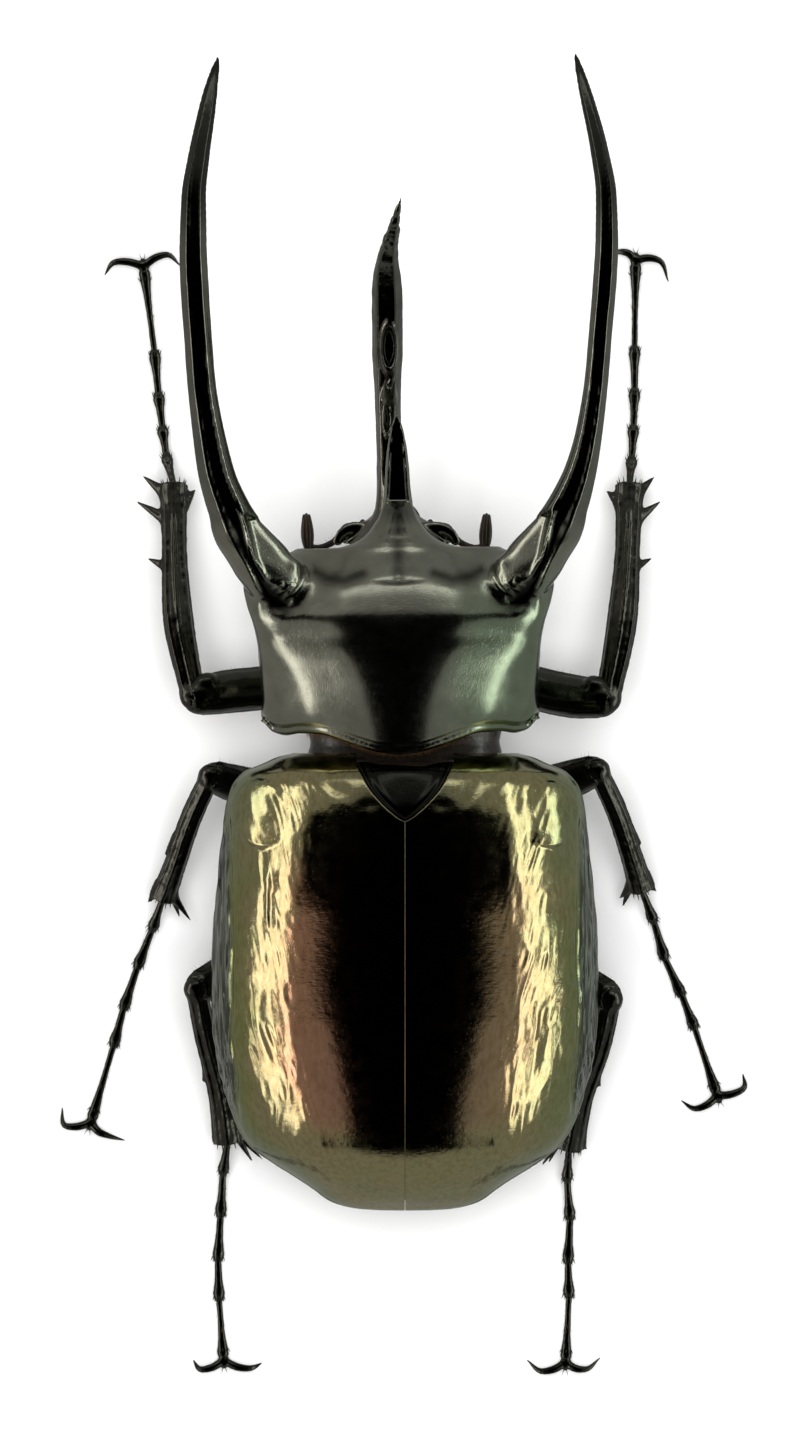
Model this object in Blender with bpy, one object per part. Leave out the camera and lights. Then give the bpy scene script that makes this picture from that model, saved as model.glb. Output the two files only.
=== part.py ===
# A male caucasus beetle standing on its six feet, life size, with its long thoracic horns.
# +X is the animal's left, -Y is its front and +Z is up. The floor is z = 0.
import math

import bpy
import numpy as np
from mathutils import Vector

MM = 0.001
GAP = 0.3 * MM

# Driving sizes of the animal
ELYTRA_AXIS_X = -0.3 * MM
PRONOTUM_AXIS_X = 0.17 * MM
PRONOTUM_PIVOT_Y = 2.0 * MM
PRONOTUM_YAW = math.radians(0.65)
SHELL_THICKNESS = 1.0 * MM

# How finely the solids are cut into flats
TUBE_SIDES = 10
LEG_SIDES = 8
ARCH_STEPS = 12


# Curves through a few named sizes


def hermite(knots, values, at, monotone):
    """Values at the places asked for, on a smooth curve through the knots."""
    knots = np.asarray(knots, float)
    values = np.asarray(values, float)
    if values.ndim == 1:
        return hermite(knots, values[:, None], at, monotone)[..., 0]
    steps = np.diff(knots)
    slopes = np.diff(values, axis=0) / steps[:, None]
    tangents = np.zeros_like(values)
    before, after = slopes[:-1], slopes[1:]
    weights = (steps[1:] / (steps[:-1] + steps[1:]))[:, None]
    tangents[1:-1] = weights * before + (1 - weights) * after
    tangents[0] = slopes[0]
    tangents[-1] = slopes[-1]
    if monotone:
        turning = before * after <= 0
        mean = 2 * before * after / np.where(turning, 1.0, before + after)
        tangents[1:-1] = np.where(turning, 0.0, mean)
    at = np.clip(np.asarray(at, float), knots[0], knots[-1])
    index = np.clip(np.searchsorted(knots, at, side="right") - 1, 0, len(steps) - 1)
    h = steps[index]
    t = ((at - knots[index]) / h)[..., None]
    h = h[..., None]
    return (
        (2 * t**3 - 3 * t**2 + 1) * values[index]
        + (t**3 - 2 * t**2 + t) * h * tangents[index]
        + (3 * t**2 - 2 * t**3) * values[index + 1]
        + (t**3 - t**2) * h * tangents[index + 1]
    )


def profile(pairs, at):
    """A size along the body, from pairs of place and size in millimetres."""
    places, sizes = zip(*pairs)
    return hermite(np.array(places) * MM, np.array(sizes) * MM, at, True)


def path(points):
    """The points in metres and their shares of the way along a line through them."""
    points = np.array(points, float) * MM
    lengths = np.linalg.norm(np.diff(points, axis=0), axis=1)
    return points, np.concatenate([[0], np.cumsum(lengths)]) / lengths.sum()


# Meshes from rings


def new_object(name, points, faces, material):
    mesh = bpy.data.meshes.new(name)
    mesh.from_pydata([tuple(p) for p in points], [], faces)
    mesh.update()
    mesh.shade_smooth()
    mesh.set_sharp_from_angle(angle=math.radians(40))
    made = bpy.data.objects.new(name, mesh)
    mesh.materials.append(material)
    bpy.context.scene.collection.objects.link(made)
    return made


def loft(name, rings, material, flat_ends=False):
    """A closed body through rings of points. A ring of one point is a tip; other ends get a fan, or one flat face."""
    points, faces, starts = [], [], []
    for ring in rings:
        starts.append(len(points))
        points.extend(ring)
    for (a, low), (b, high) in zip(zip(starts, rings), zip(starts[1:], rings[1:])):
        sides = max(len(low), len(high))
        for i in range(sides):
            j = (i + 1) % sides
            if len(low) == 1:
                faces.append((a, b + j, b + i))
            elif len(high) == 1:
                faces.append((a + i, a + j, b))
            else:
                faces.append((a + i, a + j, b + j))
                faces.append((a + i, b + j, b + i))
    for start, ring, flip in ((starts[0], rings[0], True), (starts[-1], rings[-1], False)):
        sides = len(ring)
        if sides == 1:
            continue
        if flat_ends:
            edge = range(start, start + sides)
            faces.append(tuple(reversed(edge)) if flip else tuple(edge))
            continue
        points.append(np.mean(ring, axis=0))
        middle = len(points) - 1
        for i in range(sides):
            j = (i + 1) % sides
            edge = (start + j, start + i) if flip else (start + i, start + j)
            faces.append((middle, *edge))
    made = new_object(name, points, faces, material)
    if signed_volume(made.data) < 0:
        made.data.flip_normals()
    return made


def signed_volume(mesh):
    mesh.calc_loop_triangles()
    corners = np.array([[mesh.vertices[i].co for i in t.vertices] for t in mesh.loop_triangles])
    return float(np.einsum("ij,ij->i", corners[:, 0], np.cross(corners[:, 1], corners[:, 2])).sum())


def circle(sides, turn=0.0):
    return turn + np.arange(sides) * 2 * math.pi / sides


def unit(vector):
    vector = np.asarray(vector, float)
    return vector / np.linalg.norm(vector)


def tube_rings(centres, widths, heights, sides, form=None, faces=(None, None)):
    """Rings square to a line of centres, with half sizes across and upwards, and end faces turned as asked."""
    centres = np.asarray(centres, float)
    tangents = np.gradient(centres, axis=0)
    up = (0, 0, 1)
    for k, face in zip((0, -1), faces):
        if face is not None:
            tangents[k] = face
    rings = []
    angles = circle(sides, math.pi / sides)
    for k, (centre, tangent) in enumerate(zip(centres, tangents)):
        side = unit(np.cross(unit(tangent), up))
        lift = np.cross(side, unit(tangent))
        shape = np.ones(sides) if form is None else form(angles, k / (len(centres) - 1))
        rings.append(
            centre
            + np.outer(np.cos(angles) * shape * widths[k], side)
            + np.outer(np.sin(angles) * shape * heights[k], lift)
        )
    return rings


def tube(name, points, widths, heights, material, count=10, sides=TUBE_SIDES, **more):
    """A tube along a smooth line through the points, in millimetres, with half sizes at each of them."""
    tip = more.pop("tip", False)
    floor = more.pop("floor", False)
    ceiling = more.pop("ceiling", None)
    line, shares = path(points)
    at = more.pop("at", None)
    at = np.linspace(0, 1, count) if at is None else np.asarray(at)
    centres = hermite(shares, line, at, False)
    across = hermite(shares, np.array(widths) * MM, at, True)
    tall = hermite(shares, np.array(heights) * MM, at, True)
    rings = tube_rings(centres, across, tall, sides, **more)
    if tip:
        rings[-1] = centres[-1:]
    if floor:
        rings = [np.column_stack([r[:, :2], np.maximum(r[:, 2], 0.0)]) for r in rings]
    if ceiling:
        rings = [np.column_stack([r[:, :2], np.minimum(r[:, 2], ceiling(*r[:, :2].T))]) for r in rings]
    return loft(name, rings, material)


def joined(name, pieces, material, cutters=()):
    """One closed body from pieces that overlap, less any cutters."""
    base = pieces[0]
    group = bpy.data.collections.new(name + "_pieces")
    for piece in pieces[1:]:
        group.objects.link(piece)
    if len(pieces) > 1:
        union = base.modifiers.new("union", "BOOLEAN")
        union.operation = "UNION"
        union.operand_type = "COLLECTION"
        union.collection = group
        union.solver = "EXACT"
    for cutter in cutters:
        cut = base.modifiers.new("cut", "BOOLEAN")
        cut.operation = "DIFFERENCE"
        cut.object = cutter
        cut.solver = "EXACT"
    bpy.context.view_layer.update()
    evaluated = base.evaluated_get(bpy.context.evaluated_depsgraph_get())
    mesh = bpy.data.meshes.new_from_object(evaluated)
    for used in [*pieces, *cutters]:
        bpy.data.objects.remove(used)
    bpy.data.collections.remove(group)
    mesh = largest_surface(mesh)
    mesh.name = name
    mesh.materials.clear()
    mesh.materials.append(material)
    mesh.shade_smooth()
    mesh.set_sharp_from_angle(angle=math.radians(40))
    made = bpy.data.objects.new(name, mesh)
    bpy.context.scene.collection.objects.link(made)
    return made


def largest_surface(mesh):
    """The mesh with only its largest connected surface left."""
    parent = list(range(len(mesh.vertices)))

    def root(i):
        while parent[i] != i:
            parent[i] = parent[parent[i]]
            i = parent[i]
        return i

    for edge in mesh.edges:
        a, b = (root(i) for i in edge.vertices)
        parent[a] = b
    groups = {}
    for polygon in mesh.polygons:
        groups.setdefault(root(polygon.vertices[0]), []).append(tuple(polygon.vertices))
    if len(groups) == 1:
        return mesh
    faces = max(groups.values(), key=len)
    used = sorted({i for face in faces for i in face})
    place = {old: new for new, old in enumerate(used)}
    kept = bpy.data.meshes.new(mesh.name)
    kept.from_pydata(
        [tuple(mesh.vertices[i].co) for i in used],
        [],
        [tuple(place[i] for i in face) for face in faces],
    )
    return kept


def material(name, colour, roughness, metallic):
    made = bpy.data.materials.new(name)
    made.use_nodes = True
    shader = made.node_tree.nodes["Principled BSDF"]
    shader.inputs["Base Color"].default_value = (*colour, 1.0)
    shader.inputs["Roughness"].default_value = roughness
    shader.inputs["Metallic"].default_value = metallic
    return made


# The hind body: a core with two wing cases over it

# Pairs of place along Y and size, both in millimetres
ELYTRA_HALF_WIDTH = [
    (3.6, 11.2), (4.4, 13.4), (5.6, 16.4), (7.0, 17.6), (12.0, 18.1), (16.0, 18.9), (21.0, 19.3),
    (30.0, 19.4), (34.0, 18.8), (38.0, 17.4), (41.0, 15.8), (43.5, 13.8), (45.5, 11.4),
    (47.3, 9.0), (48.6, 6.8), (49.3, 4.6),
]
ELYTRA_RISE = [
    (3.6, 6.6), (4.4, 9.5), (5.6, 11.3), (7.5, 12.5), (10.0, 13.4), (14.0, 14.2), (20.0, 14.7),
    (27.0, 14.7), (33.0, 14.4), (38.0, 13.4), (42.0, 11.6), (45.0, 9.2), (46.5, 7.4), (47.5, 5.8),
    (48.4, 4.0), (49.3, 1.8),
]
MARGIN_HEIGHT = [(3.6, 15.8), (8.0, 15.3), (20.0, 14.4), (30.0, 13.9), (40.0, 13.3), (49.3, 12.6)]
BELLY_DEPTH = [
    (1.0, 5.6), (4.0, 6.6), (8.0, 7.4), (16.0, 7.6), (25.0, 7.2), (32.0, 6.2), (38.0, 5.0),
    (43.0, 3.7), (47.0, 2.2), (49.3, 1.2),
]
THORAX_END_Y = 26.0
ABDOMEN_END_Y = 48.1
WAIST_HALF_WIDTH = 9.6
CORE_GAP = 0.4 * MM


def margin(y):
    return profile(MARGIN_HEIGHT, y)


def elytra_arch(y, angles, inset):
    """Points of the wing cases' arch at one place: angle 0 is the left margin and half a turn the right."""
    wide = profile(ELYTRA_HALF_WIDTH, y) - inset
    rise = profile(ELYTRA_RISE, y) - inset
    x = ELYTRA_AXIS_X + wide * np.cos(angles)
    z = margin(y) + rise * np.sin(angles)
    return np.column_stack([x, np.full_like(x, y), z])


def belly_height(x, y):
    """Height of the hind body's underside."""
    wide = profile(ELYTRA_HALF_WIDTH, y) - SHELL_THICKNESS - CORE_GAP
    share = np.clip((x - ELYTRA_AXIS_X) / wide, -1, 1)
    return margin(y) - profile(BELLY_DEPTH, y) * np.sqrt(1 - share**2)


def elytron(name, side, case):
    """One wing case: a shell from the seam down to its outer margin."""
    places = np.array([p for p, _ in ELYTRA_HALF_WIDTH])
    places = np.sort(np.concatenate([places, [9.5, 14.0, 18.5, 24.0, 27.0, 32.0, 36.0]])) * MM
    rings = []
    for y in places:
        wide = profile(ELYTRA_HALF_WIDTH, y)
        seam = math.acos(GAP / 2 / wide)
        inner_seam = math.acos(GAP / 2 / (wide - SHELL_THICKNESS))
        outer = elytra_arch(y, np.linspace(seam, 0, ARCH_STEPS), 0)
        inner = elytra_arch(y, np.linspace(0, inner_seam, ARCH_STEPS - 3), SHELL_THICKNESS)
        ring = np.vstack([outer, inner])
        ring[:, 0] = ELYTRA_AXIS_X + side * (ring[:, 0] - ELYTRA_AXIS_X)
        rings.append(ring)
    return loft(name, rings, case, flat_ends=True)


def core_ring(y, depth_share=1.0):
    """A section of the body under the wing cases."""
    inset = SHELL_THICKNESS + CORE_GAP
    upper = elytra_arch(y, np.linspace(0, math.pi, 11), inset)
    angles = np.linspace(math.pi, 2 * math.pi, 13)[1:-1]
    lower = elytra_arch(y, angles, inset)
    depth = profile(BELLY_DEPTH, y) * depth_share
    lower[:, 2] = margin(y) + depth * np.sin(angles)
    return np.vstack([upper, lower])


def waist_ring(y, share):
    """A section of the narrow waist between the pronotum and the wing cases."""
    angles = circle(22)
    wide = WAIST_HALF_WIDTH * MM
    x = ELYTRA_AXIS_X + wide * np.cos(angles)
    bow = pronotum_hind_edge(x) + CORE_GAP
    low, high = 9.0 * MM, 20.0 * MM
    z = (low + high) / 2 + (high - low) / 2 * np.sin(angles)
    return np.column_stack([x, bow * (1 - share) + y * share, z])


def pterothorax(name, skin):
    """The middle and hind thorax, with the waist in front of it."""
    places = np.array([4.7, 5.4, 6.5, 8.5, 11.0, 15.0, 19.0, 23.0, THORAX_END_Y]) * MM
    rings = [waist_ring(4.0 * MM, 0.0), waist_ring(4.0 * MM, 1.0)]
    rings += [core_ring(y) for y in places]
    return loft(name, rings, skin)


def abdomen(name, skin):
    """The abdomen, with a groove between each two of its belly plates."""
    start = THORAX_END_Y * MM + GAP
    end = ABDOMEN_END_Y * MM
    grooves = np.array([29.5, 33.0, 36.5, 40.0, 43.5]) * MM
    groove_width = 0.35 * MM
    places = [(start, 1.0)]
    for groove in grooves:
        places += [(groove - groove_width, 1.0), (groove, 0.93), (groove + groove_width, 1.0)]
    places += [(46.0 * MM, 1.0), (47.6 * MM, 1.0), (end, 0.8)]
    return loft(name, [core_ring(y, share) for y, share in places], skin)


SCUTELLUM_HALF_WIDTH = 4.8 * MM
SCUTELLUM_FRONT_Y = 4.6 * MM
SCUTELLUM_TIP_Y = 10.3 * MM


def scutellum_half_width(along):
    """Half the shield's width at a share of its length, from its broad front to its tip."""
    shares = [0.0, 0.2, 0.45, 0.75, 0.92, 1.0]
    widths = [1.0, 0.9, 0.74, 0.42, 0.18, 0.04]
    return SCUTELLUM_HALF_WIDTH * np.interp(along, shares, widths)


def scutellum(name, skin):
    """The small shield between the wing cases, level with their surface."""
    rings = []
    for along in (0.0, 0.2, 0.45, 0.75, 0.92, 1.0):
        y = SCUTELLUM_FRONT_Y + (SCUTELLUM_TIP_Y - SCUTELLUM_FRONT_Y) * along
        x = ELYTRA_AXIS_X + scutellum_half_width(along) * np.linspace(-1, 1, 7)
        top = elytra_top(x, y) - 0.05 * MM
        high = np.column_stack([x, np.full(7, y), top])
        low = high - np.array([0, 0, SHELL_THICKNESS])
        rings.append(np.vstack([high, low[::-1]]))
    return loft(name, rings, skin, flat_ends=True)


def elytra_top(x, y):
    """Height of the wing cases' surface over a place near the seam."""
    wide = profile(ELYTRA_HALF_WIDTH, y)
    share = np.clip((x - ELYTRA_AXIS_X) / wide, -1, 1)
    return margin(y) + profile(ELYTRA_RISE, y) * np.sqrt(1 - share**2)


def scutellum_cutter(skin):
    """The room that the wing cases leave for the shield, open to the front."""
    right = [(SCUTELLUM_HALF_WIDTH + GAP, SCUTELLUM_FRONT_Y - 4 * MM)]
    for along in (0.0, 0.2, 0.45, 0.75, 0.92, 1.0):
        y = SCUTELLUM_FRONT_Y + (SCUTELLUM_TIP_Y - SCUTELLUM_FRONT_Y) * along
        right.append((scutellum_half_width(along) + GAP, y + GAP * along))
    outline = right + [(-x, y) for x, y in reversed(right)]
    corners = [(ELYTRA_AXIS_X + x, y) for x, y in outline]
    heights = (15 * MM, 40 * MM)
    rings = [np.array([(x, y, z) for x, y in corners]) for z in heights]
    return loft("scutellum_room", rings, skin, flat_ends=True)


# The pronotum with its three horns, in its own line, turned a little from the hind body's

PRONOTUM_HALF_WIDTH = [
    (-17.0, 10.4), (-16.0, 12.6), (-15.0, 14.0), (-13.5, 14.9), (-11.5, 14.9), (-9.5, 14.5),
    (-7.0, 14.1), (-4.0, 13.9), (-2.0, 13.7), (-0.5, 13.9), (0.4, 13.6), (1.0, 12.8),
]
PRONOTUM_TOP = [
    (-17.0, 23.6), (-16.0, 24.8), (-15.0, 25.8), (-14.0, 26.7), (-13.0, 27.8), (-11.5, 28.9),
    (-9.5, 29.7), (-7.0, 29.8), (-4.0, 28.9), (-2.0, 27.9), (-0.5, 27.0), (0.4, 26.4), (1.0, 25.8),
]
PRONOTUM_MARGIN = [(-17.0, 18.0), (-13.0, 18.2), (-9.0, 17.2), (-4.0, 16.2), (1.0, 15.8)]
PRONOTUM_UNDERSIDE = [(-17.0, 12.0), (-13.0, 10.2), (-8.0, 9.2), (-3.0, 9.0), (1.0, 9.6)]
# How square the upper side's section is: 2 is an ellipse
PRONOTUM_SQUARENESS = [(-17.0, 3.2), (-14.0, 3.6), (-11.5, 3.4), (-8.0, 2.7), (-4.0, 2.2), (1.0, 2.0)]
HIND_BOW = 2.7 * MM
PRONOTUM_HIND_Y = 1.0 * MM
PRONOTUM_FRONT_Y = -17.0 * MM


def from_pronotum(points):
    """Turns points in the pronotum's own line into the whole animal's."""
    points = np.array(points, float)
    cos, sin = math.cos(PRONOTUM_YAW), math.sin(PRONOTUM_YAW)
    x, y = points[..., 0], points[..., 1] - PRONOTUM_PIVOT_Y
    turned = points.copy()
    turned[..., 0] = PRONOTUM_AXIS_X + cos * x - sin * y
    turned[..., 1] = PRONOTUM_PIVOT_Y + sin * x + cos * y
    return turned


def bow_of(y, share):
    """How far back the middle of a section lies behind its margin."""
    along = (y - PRONOTUM_FRONT_Y) / (PRONOTUM_HIND_Y - PRONOTUM_FRONT_Y)
    return HIND_BOW * along * (1 - np.minimum(np.abs(share), 1) ** 1.7)


def pronotum_hind_edge(x):
    """Y of the pronotum's hind face at a place across the whole animal."""
    wide = profile(PRONOTUM_HALF_WIDTH, PRONOTUM_HIND_Y)
    local = x - PRONOTUM_AXIS_X
    y = PRONOTUM_HIND_Y + bow_of(PRONOTUM_HIND_Y, local / wide)
    return PRONOTUM_PIVOT_Y + math.sin(PRONOTUM_YAW) * local + math.cos(PRONOTUM_YAW) * (y - PRONOTUM_PIVOT_Y)


def pronotum_section(y, steps):
    """A section of the pronotum in its own line."""
    wide = profile(PRONOTUM_HALF_WIDTH, y)
    edge = profile(PRONOTUM_MARGIN, y)
    power = 2 / (profile(PRONOTUM_SQUARENESS, y) / MM)
    angles = np.linspace(0, math.pi, steps)
    cos, sin = np.cos(angles), np.sin(angles)
    x = wide * np.sign(cos) * np.abs(cos) ** power
    z = edge + (profile(PRONOTUM_TOP, y) - edge) * np.abs(sin) ** power
    below = np.linspace(math.pi, 2 * math.pi, steps)[1:-1]
    x = np.concatenate([x, wide * np.cos(below)])
    z = np.concatenate([z, edge + (edge - profile(PRONOTUM_UNDERSIDE, y)) * np.sin(below)])
    z -= horn_pit(x, y) * (z > edge)
    return np.column_stack([x, y + bow_of(y, x / wide), z])


def horn_pit(x, y):
    """Depth of the hollow at the inner side of each long horn's root."""
    across = (np.abs(x) - 10.4 * MM) / (2.2 * MM)
    along = (y + 12.6 * MM) / (2.4 * MM)
    return 0.9 * MM * np.exp(-(across**2) - along**2)


# Horns: lines in millimetres, the long and middle ones in the pronotum's own line, with their half
# sizes across and upwards at each point, the share of the line that is root, and how far both lean to the right


def horn_form(angles, share):
    """The long horn's section, with keels along its sides."""
    return 1 + 0.08 * np.cos(3 * angles)


LONG_HORN = {
    "line": [
        (9.6, -9.6, 22.8), (12.8, -14.0, 24.6), (15.0, -17.4, 26.2), (16.4, -20.3, 27.4),
        (17.8, -23.4, 28.4), (19.0, -27.8, 29.5), (19.65, -33.7, 30.4), (20.2, -39.7, 30.7),
        (20.5, -45.7, 30.3), (20.45, -51.7, 29.1), (19.7, -57.7, 27.2), (18.5, -62.7, 25.2),
        (17.8, -65.95, 23.6),
    ],
    "wide": [3.4, 3.3, 2.75, 2.25, 1.8, 1.42, 1.22, 1.24, 1.22, 1.06, 0.88, 0.54, 0.08],
    "tall": [3.2, 3.3, 3.2, 2.8, 2.4, 2.0, 1.75, 1.65, 1.55, 1.35, 1.05, 0.6, 0.08],
    "root": 0.155, "root_rings": 6, "rings": 20, "turned": True, "form": horn_form,
    "sway": [0, 0, 0, -0.05, -0.1, -0.22, -0.28, -0.38, -0.5, -0.57, -0.54, -0.43, -0.38],
    "fuller": 0.07,
}
MIDDLE_HORN = {
    "line": [
        (0.0, -11.5, 24.4), (0.0, -16.5, 21.2), (0.05, -19.5, 20.1), (0.0, -22.0, 20.1),
        (-0.05, -25.0, 20.3), (-0.1, -28.0, 20.5), (-0.1, -30.4, 20.6),
    ],
    "wide": [7.0, 5.2, 2.6, 1.35, 1.15, 0.78, 0.1],
    "tall": [3.4, 2.2, 1.5, 1.25, 1.05, 0.75, 0.1],
    "root": 0.55, "root_rings": 6, "rings": 8, "turned": True,
}
HEAD_HORN = {
    "line": [
        (0.6, -18.9, 13.3), (0.9, -20.2, 13.9), (1.2, -24.0, 15.0), (1.35, -29.0, 16.4),
        (1.45, -34.0, 18.6), (1.5, -38.5, 21.3), (1.5, -42.5, 24.2), (1.4, -46.0, 27.4),
        (0.95, -48.8, 30.3), (0.25, -51.35, 33.2),
    ],
    "wide": [3.0, 2.2, 1.5, 1.35, 1.4, 1.45, 1.4, 1.1, 0.65, 0.08],
    "tall": [2.6, 2.2, 1.85, 1.75, 1.7, 1.5, 1.3, 1.0, 0.6, 0.08],
    "root": 0.13, "root_rings": 4, "rings": 20, "turned": False,
}


def horn_parts(line, root, turned, side=1, sway=0):
    """A horn's line in the animal's frame, and the shares of it that its root and its free part take."""
    points = np.array(line, float) * MM * np.array([side, 1, 1])
    points = (from_pronotum(points) if turned else points) / MM
    points[:, 0] += sway
    metres, shares = path(points)
    half_gap = GAP / 2 / np.linalg.norm(np.diff(metres, axis=0), axis=1).sum()
    ahead, behind = hermite(shares, metres, [root + half_gap, root - half_gap], False)
    return points, (0.0, root - half_gap), (root + half_gap, 1.0), ahead - behind


def fuller_on_left(horn, side):
    """A horn's half widths: the left long horn is a little broader than the right one."""
    return [size * (1 + side * horn.get("fuller", 0)) for size in horn["wide"]]


def horn_root(name, horn, skin, side=1):
    """The part of a horn that grows from its plate, up to the flat gap."""
    points, ends, _, face = horn_parts(horn["line"], horn["root"], horn["turned"], side, horn.get("sway", 0))
    at = np.linspace(*ends, horn["root_rings"])
    return tube(
        name, points, fuller_on_left(horn, side), horn["tall"], skin, at=at, form=horn.get("form"), faces=(None, face)
    )


def free_horn(name, horn, skin, side=1):
    """The free part of a horn, out to its tip."""
    points, _, ends, face = horn_parts(horn["line"], horn["root"], horn["turned"], side, horn.get("sway", 0))
    at = np.linspace(*ends, horn["rings"])
    return tube(
        name, points, fuller_on_left(horn, side), horn["tall"], skin, at=at, form=horn.get("form"), faces=(face, None),
        tip=True,
    )


def pronotum(skin):
    """The shield of the fore thorax, with the roots of its three horns."""
    places = np.array([p for p, _ in PRONOTUM_TOP]) * MM
    rings = [from_pronotum(pronotum_section(y, 17)) for y in places]
    pieces = [
        loft("pronotum_shell", rings, skin),
        horn_root("long_horn_root", LONG_HORN, skin, 1),
        horn_root("long_horn_root", LONG_HORN, skin, -1),
        horn_root("middle_horn_root", MIDDLE_HORN, skin),
    ]
    return joined("pronotum", pieces, skin)


# The head with its horn, in the whole animal's line

HEAD_AXIS_X = 0.55
# Pairs of place along Y and size
HEAD_HALF_WIDTH = [(-20.3, 2.0), (-19.8, 2.7), (-19.2, 4.0), (-18.4, 4.8), (-17.4, 5.4)]
HEAD_TOP = [(-20.3, 12.4), (-19.8, 13.2), (-19.2, 13.9), (-18.4, 14.8), (-17.4, 16.0)]
HEAD_UNDERSIDE = [(-20.3, 10.8), (-19.8, 10.4), (-19.2, 10.1), (-18.4, 9.9), (-17.4, 10.2)]
EYE_RADIUS = 1.05
EYE_PLACE = (4.7, -18.4, 12.1)
# The lobe that shades each eye: left side, millimetres
EYE_LOBE = [(3.0, -18.7, 13.9), (4.6, -18.7, 14.05), (5.75, -17.95, 14.2)]


def head_section(y):
    wide = profile(HEAD_HALF_WIDTH, y)
    top = profile(HEAD_TOP, y)
    low = profile(HEAD_UNDERSIDE, y)
    angles = circle(14)
    x = HEAD_AXIS_X * MM + wide * np.sign(np.cos(angles)) * np.abs(np.cos(angles)) ** 0.8
    z = (top + low) / 2 + (top - low) / 2 * np.sin(angles)
    return np.column_stack([x, np.full_like(x, y), z])


def ball(name, centre, radii, skin, rows=6, sides=TUBE_SIDES):
    """A closed ellipsoid, its poles up and down."""
    centre, radii = np.array(centre), np.array(radii)
    rings = [[centre - radii * (0, 0, 1)]]
    for k in range(1, rows):
        tilt = math.pi * k / rows - math.pi / 2
        angles = circle(sides, math.pi / sides)
        ring = np.column_stack([np.cos(angles), np.sin(angles), np.zeros(sides)]) * math.cos(tilt)
        ring[:, 2] = math.sin(tilt)
        rings.append(centre + ring * radii)
    rings.append([centre + radii * (0, 0, 1)])
    return loft(name, rings, skin)


def head(skin):
    """The head capsule with the root of its horn and the eyes' sockets."""
    places = np.array([p for p, _ in HEAD_TOP]) * MM
    capsule = loft("capsule", [head_section(y) for y in places], skin)
    stump = horn_root("head_horn_root", HEAD_HORN, skin)
    lobes = [
        tube(
            "eye_lobe", [(HEAD_AXIS_X + side * x, y, z) for x, y, z in EYE_LOBE],
            [0.8, 0.65, 0.4], [0.35, 0.35, 0.3], skin, count=4, sides=LEG_SIDES,
        )
        for side in (1, -1)
    ]
    sockets = [eye_ball("eye_socket", side, GAP, skin) for side in (1, -1)]
    return joined("head", [capsule, stump, *lobes], skin, sockets)


def eye_ball(name, side, grow, skin):
    across, forward, height = EYE_PLACE
    centre = np.array([HEAD_AXIS_X + side * across, forward, height]) * MM
    radius = EYE_RADIUS * MM + grow
    return ball(name, centre, (radius, radius, radius), skin)


def head_horn(skin):
    """The long horn of the head, with the small forked tooth on its upper side."""
    horn = free_horn("head_horn_free", HEAD_HORN, skin)
    teeth = [
        tube(
            "horn_tooth",
            [(1.3 + side * 0.2, -31.2, 16.6), (1.2 + side * 0.45, -32.4, 18.9), (1.1 + side * 0.6, -33.4, 20.4)],
            [0.8, 0.5, 0.1], [0.8, 0.5, 0.1], skin, count=4, sides=6, tip=True,
        )
        for side in (1, -1)
    ]
    return joined("head_horn", [horn, *teeth], skin)


def mouth(skin):
    """Jaws and feelers of the mouth, under the front of the head."""
    middle = HEAD_AXIS_X
    pieces = [
        tube(
            "lip", [(middle, -20.3, 9.2), (middle, -19.2, 8.95), (middle, -17.9, 8.8)],
            [1.9, 2.6, 2.4], [0.6, 0.9, 0.7], skin, count=5,
        )
    ]
    for side in (1, -1):
        pieces.append(tube(
            "jaw", [(middle + side * 1.2, -19.4, 8.9), (middle + side * 1.5, -20.5, 9.1), (middle + side * 0.8, -21.3, 9.5)],
            [0.8, 0.6, 0.15], [0.5, 0.45, 0.12], skin, count=5, sides=6, tip=True,
        ))
        pieces.append(tube(
            "palp", [(middle + side * 1.8, -18.8, 8.6), (middle + side * 3.2, -18.9, 7.9), (middle + side * 3.4, -19.6, 7.2)],
            [0.45, 0.4, 0.3], [0.45, 0.4, 0.3], skin, count=6, sides=6,
        ))
    return joined("mouth", pieces, skin)


# The feeler's stalk and its club of leaves: left side, millimetres
ANTENNA_STALK = [(3.7, -18.8, 10.0), (6.2, -17.6, 9.9), (8.0, -16.9, 10.3), (8.9, -17.0, 10.6)]
ANTENNA_CLUB = [(8.85, -16.9, 10.6), (9.0, -18.2, 10.8), (9.0, -19.6, 11.0)]


def antenna(side_name, skin):
    side = 1 if side_name == "left" else -1

    def placed(line):
        return [(HEAD_AXIS_X + side * x, y, z) for x, y, z in line]

    stalk = tube("stalk", placed(ANTENNA_STALK), [0.4] * 4, [0.4] * 4, skin, count=5, sides=6)
    club = tube(
        "club", placed(ANTENNA_CLUB), [0.45, 0.75, 0.3], [0.6, 0.95, 0.4], skin, count=6, sides=8
    )
    return joined(f"antenna_{side_name}", [stalk, club], skin)


# Legs. Each line is in millimetres: the coxa under the body, the femur to the knee, the tibia from
# the knee to the foot, the foot to the claws, each claw, and the spurs and teeth of the tibia.

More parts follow.
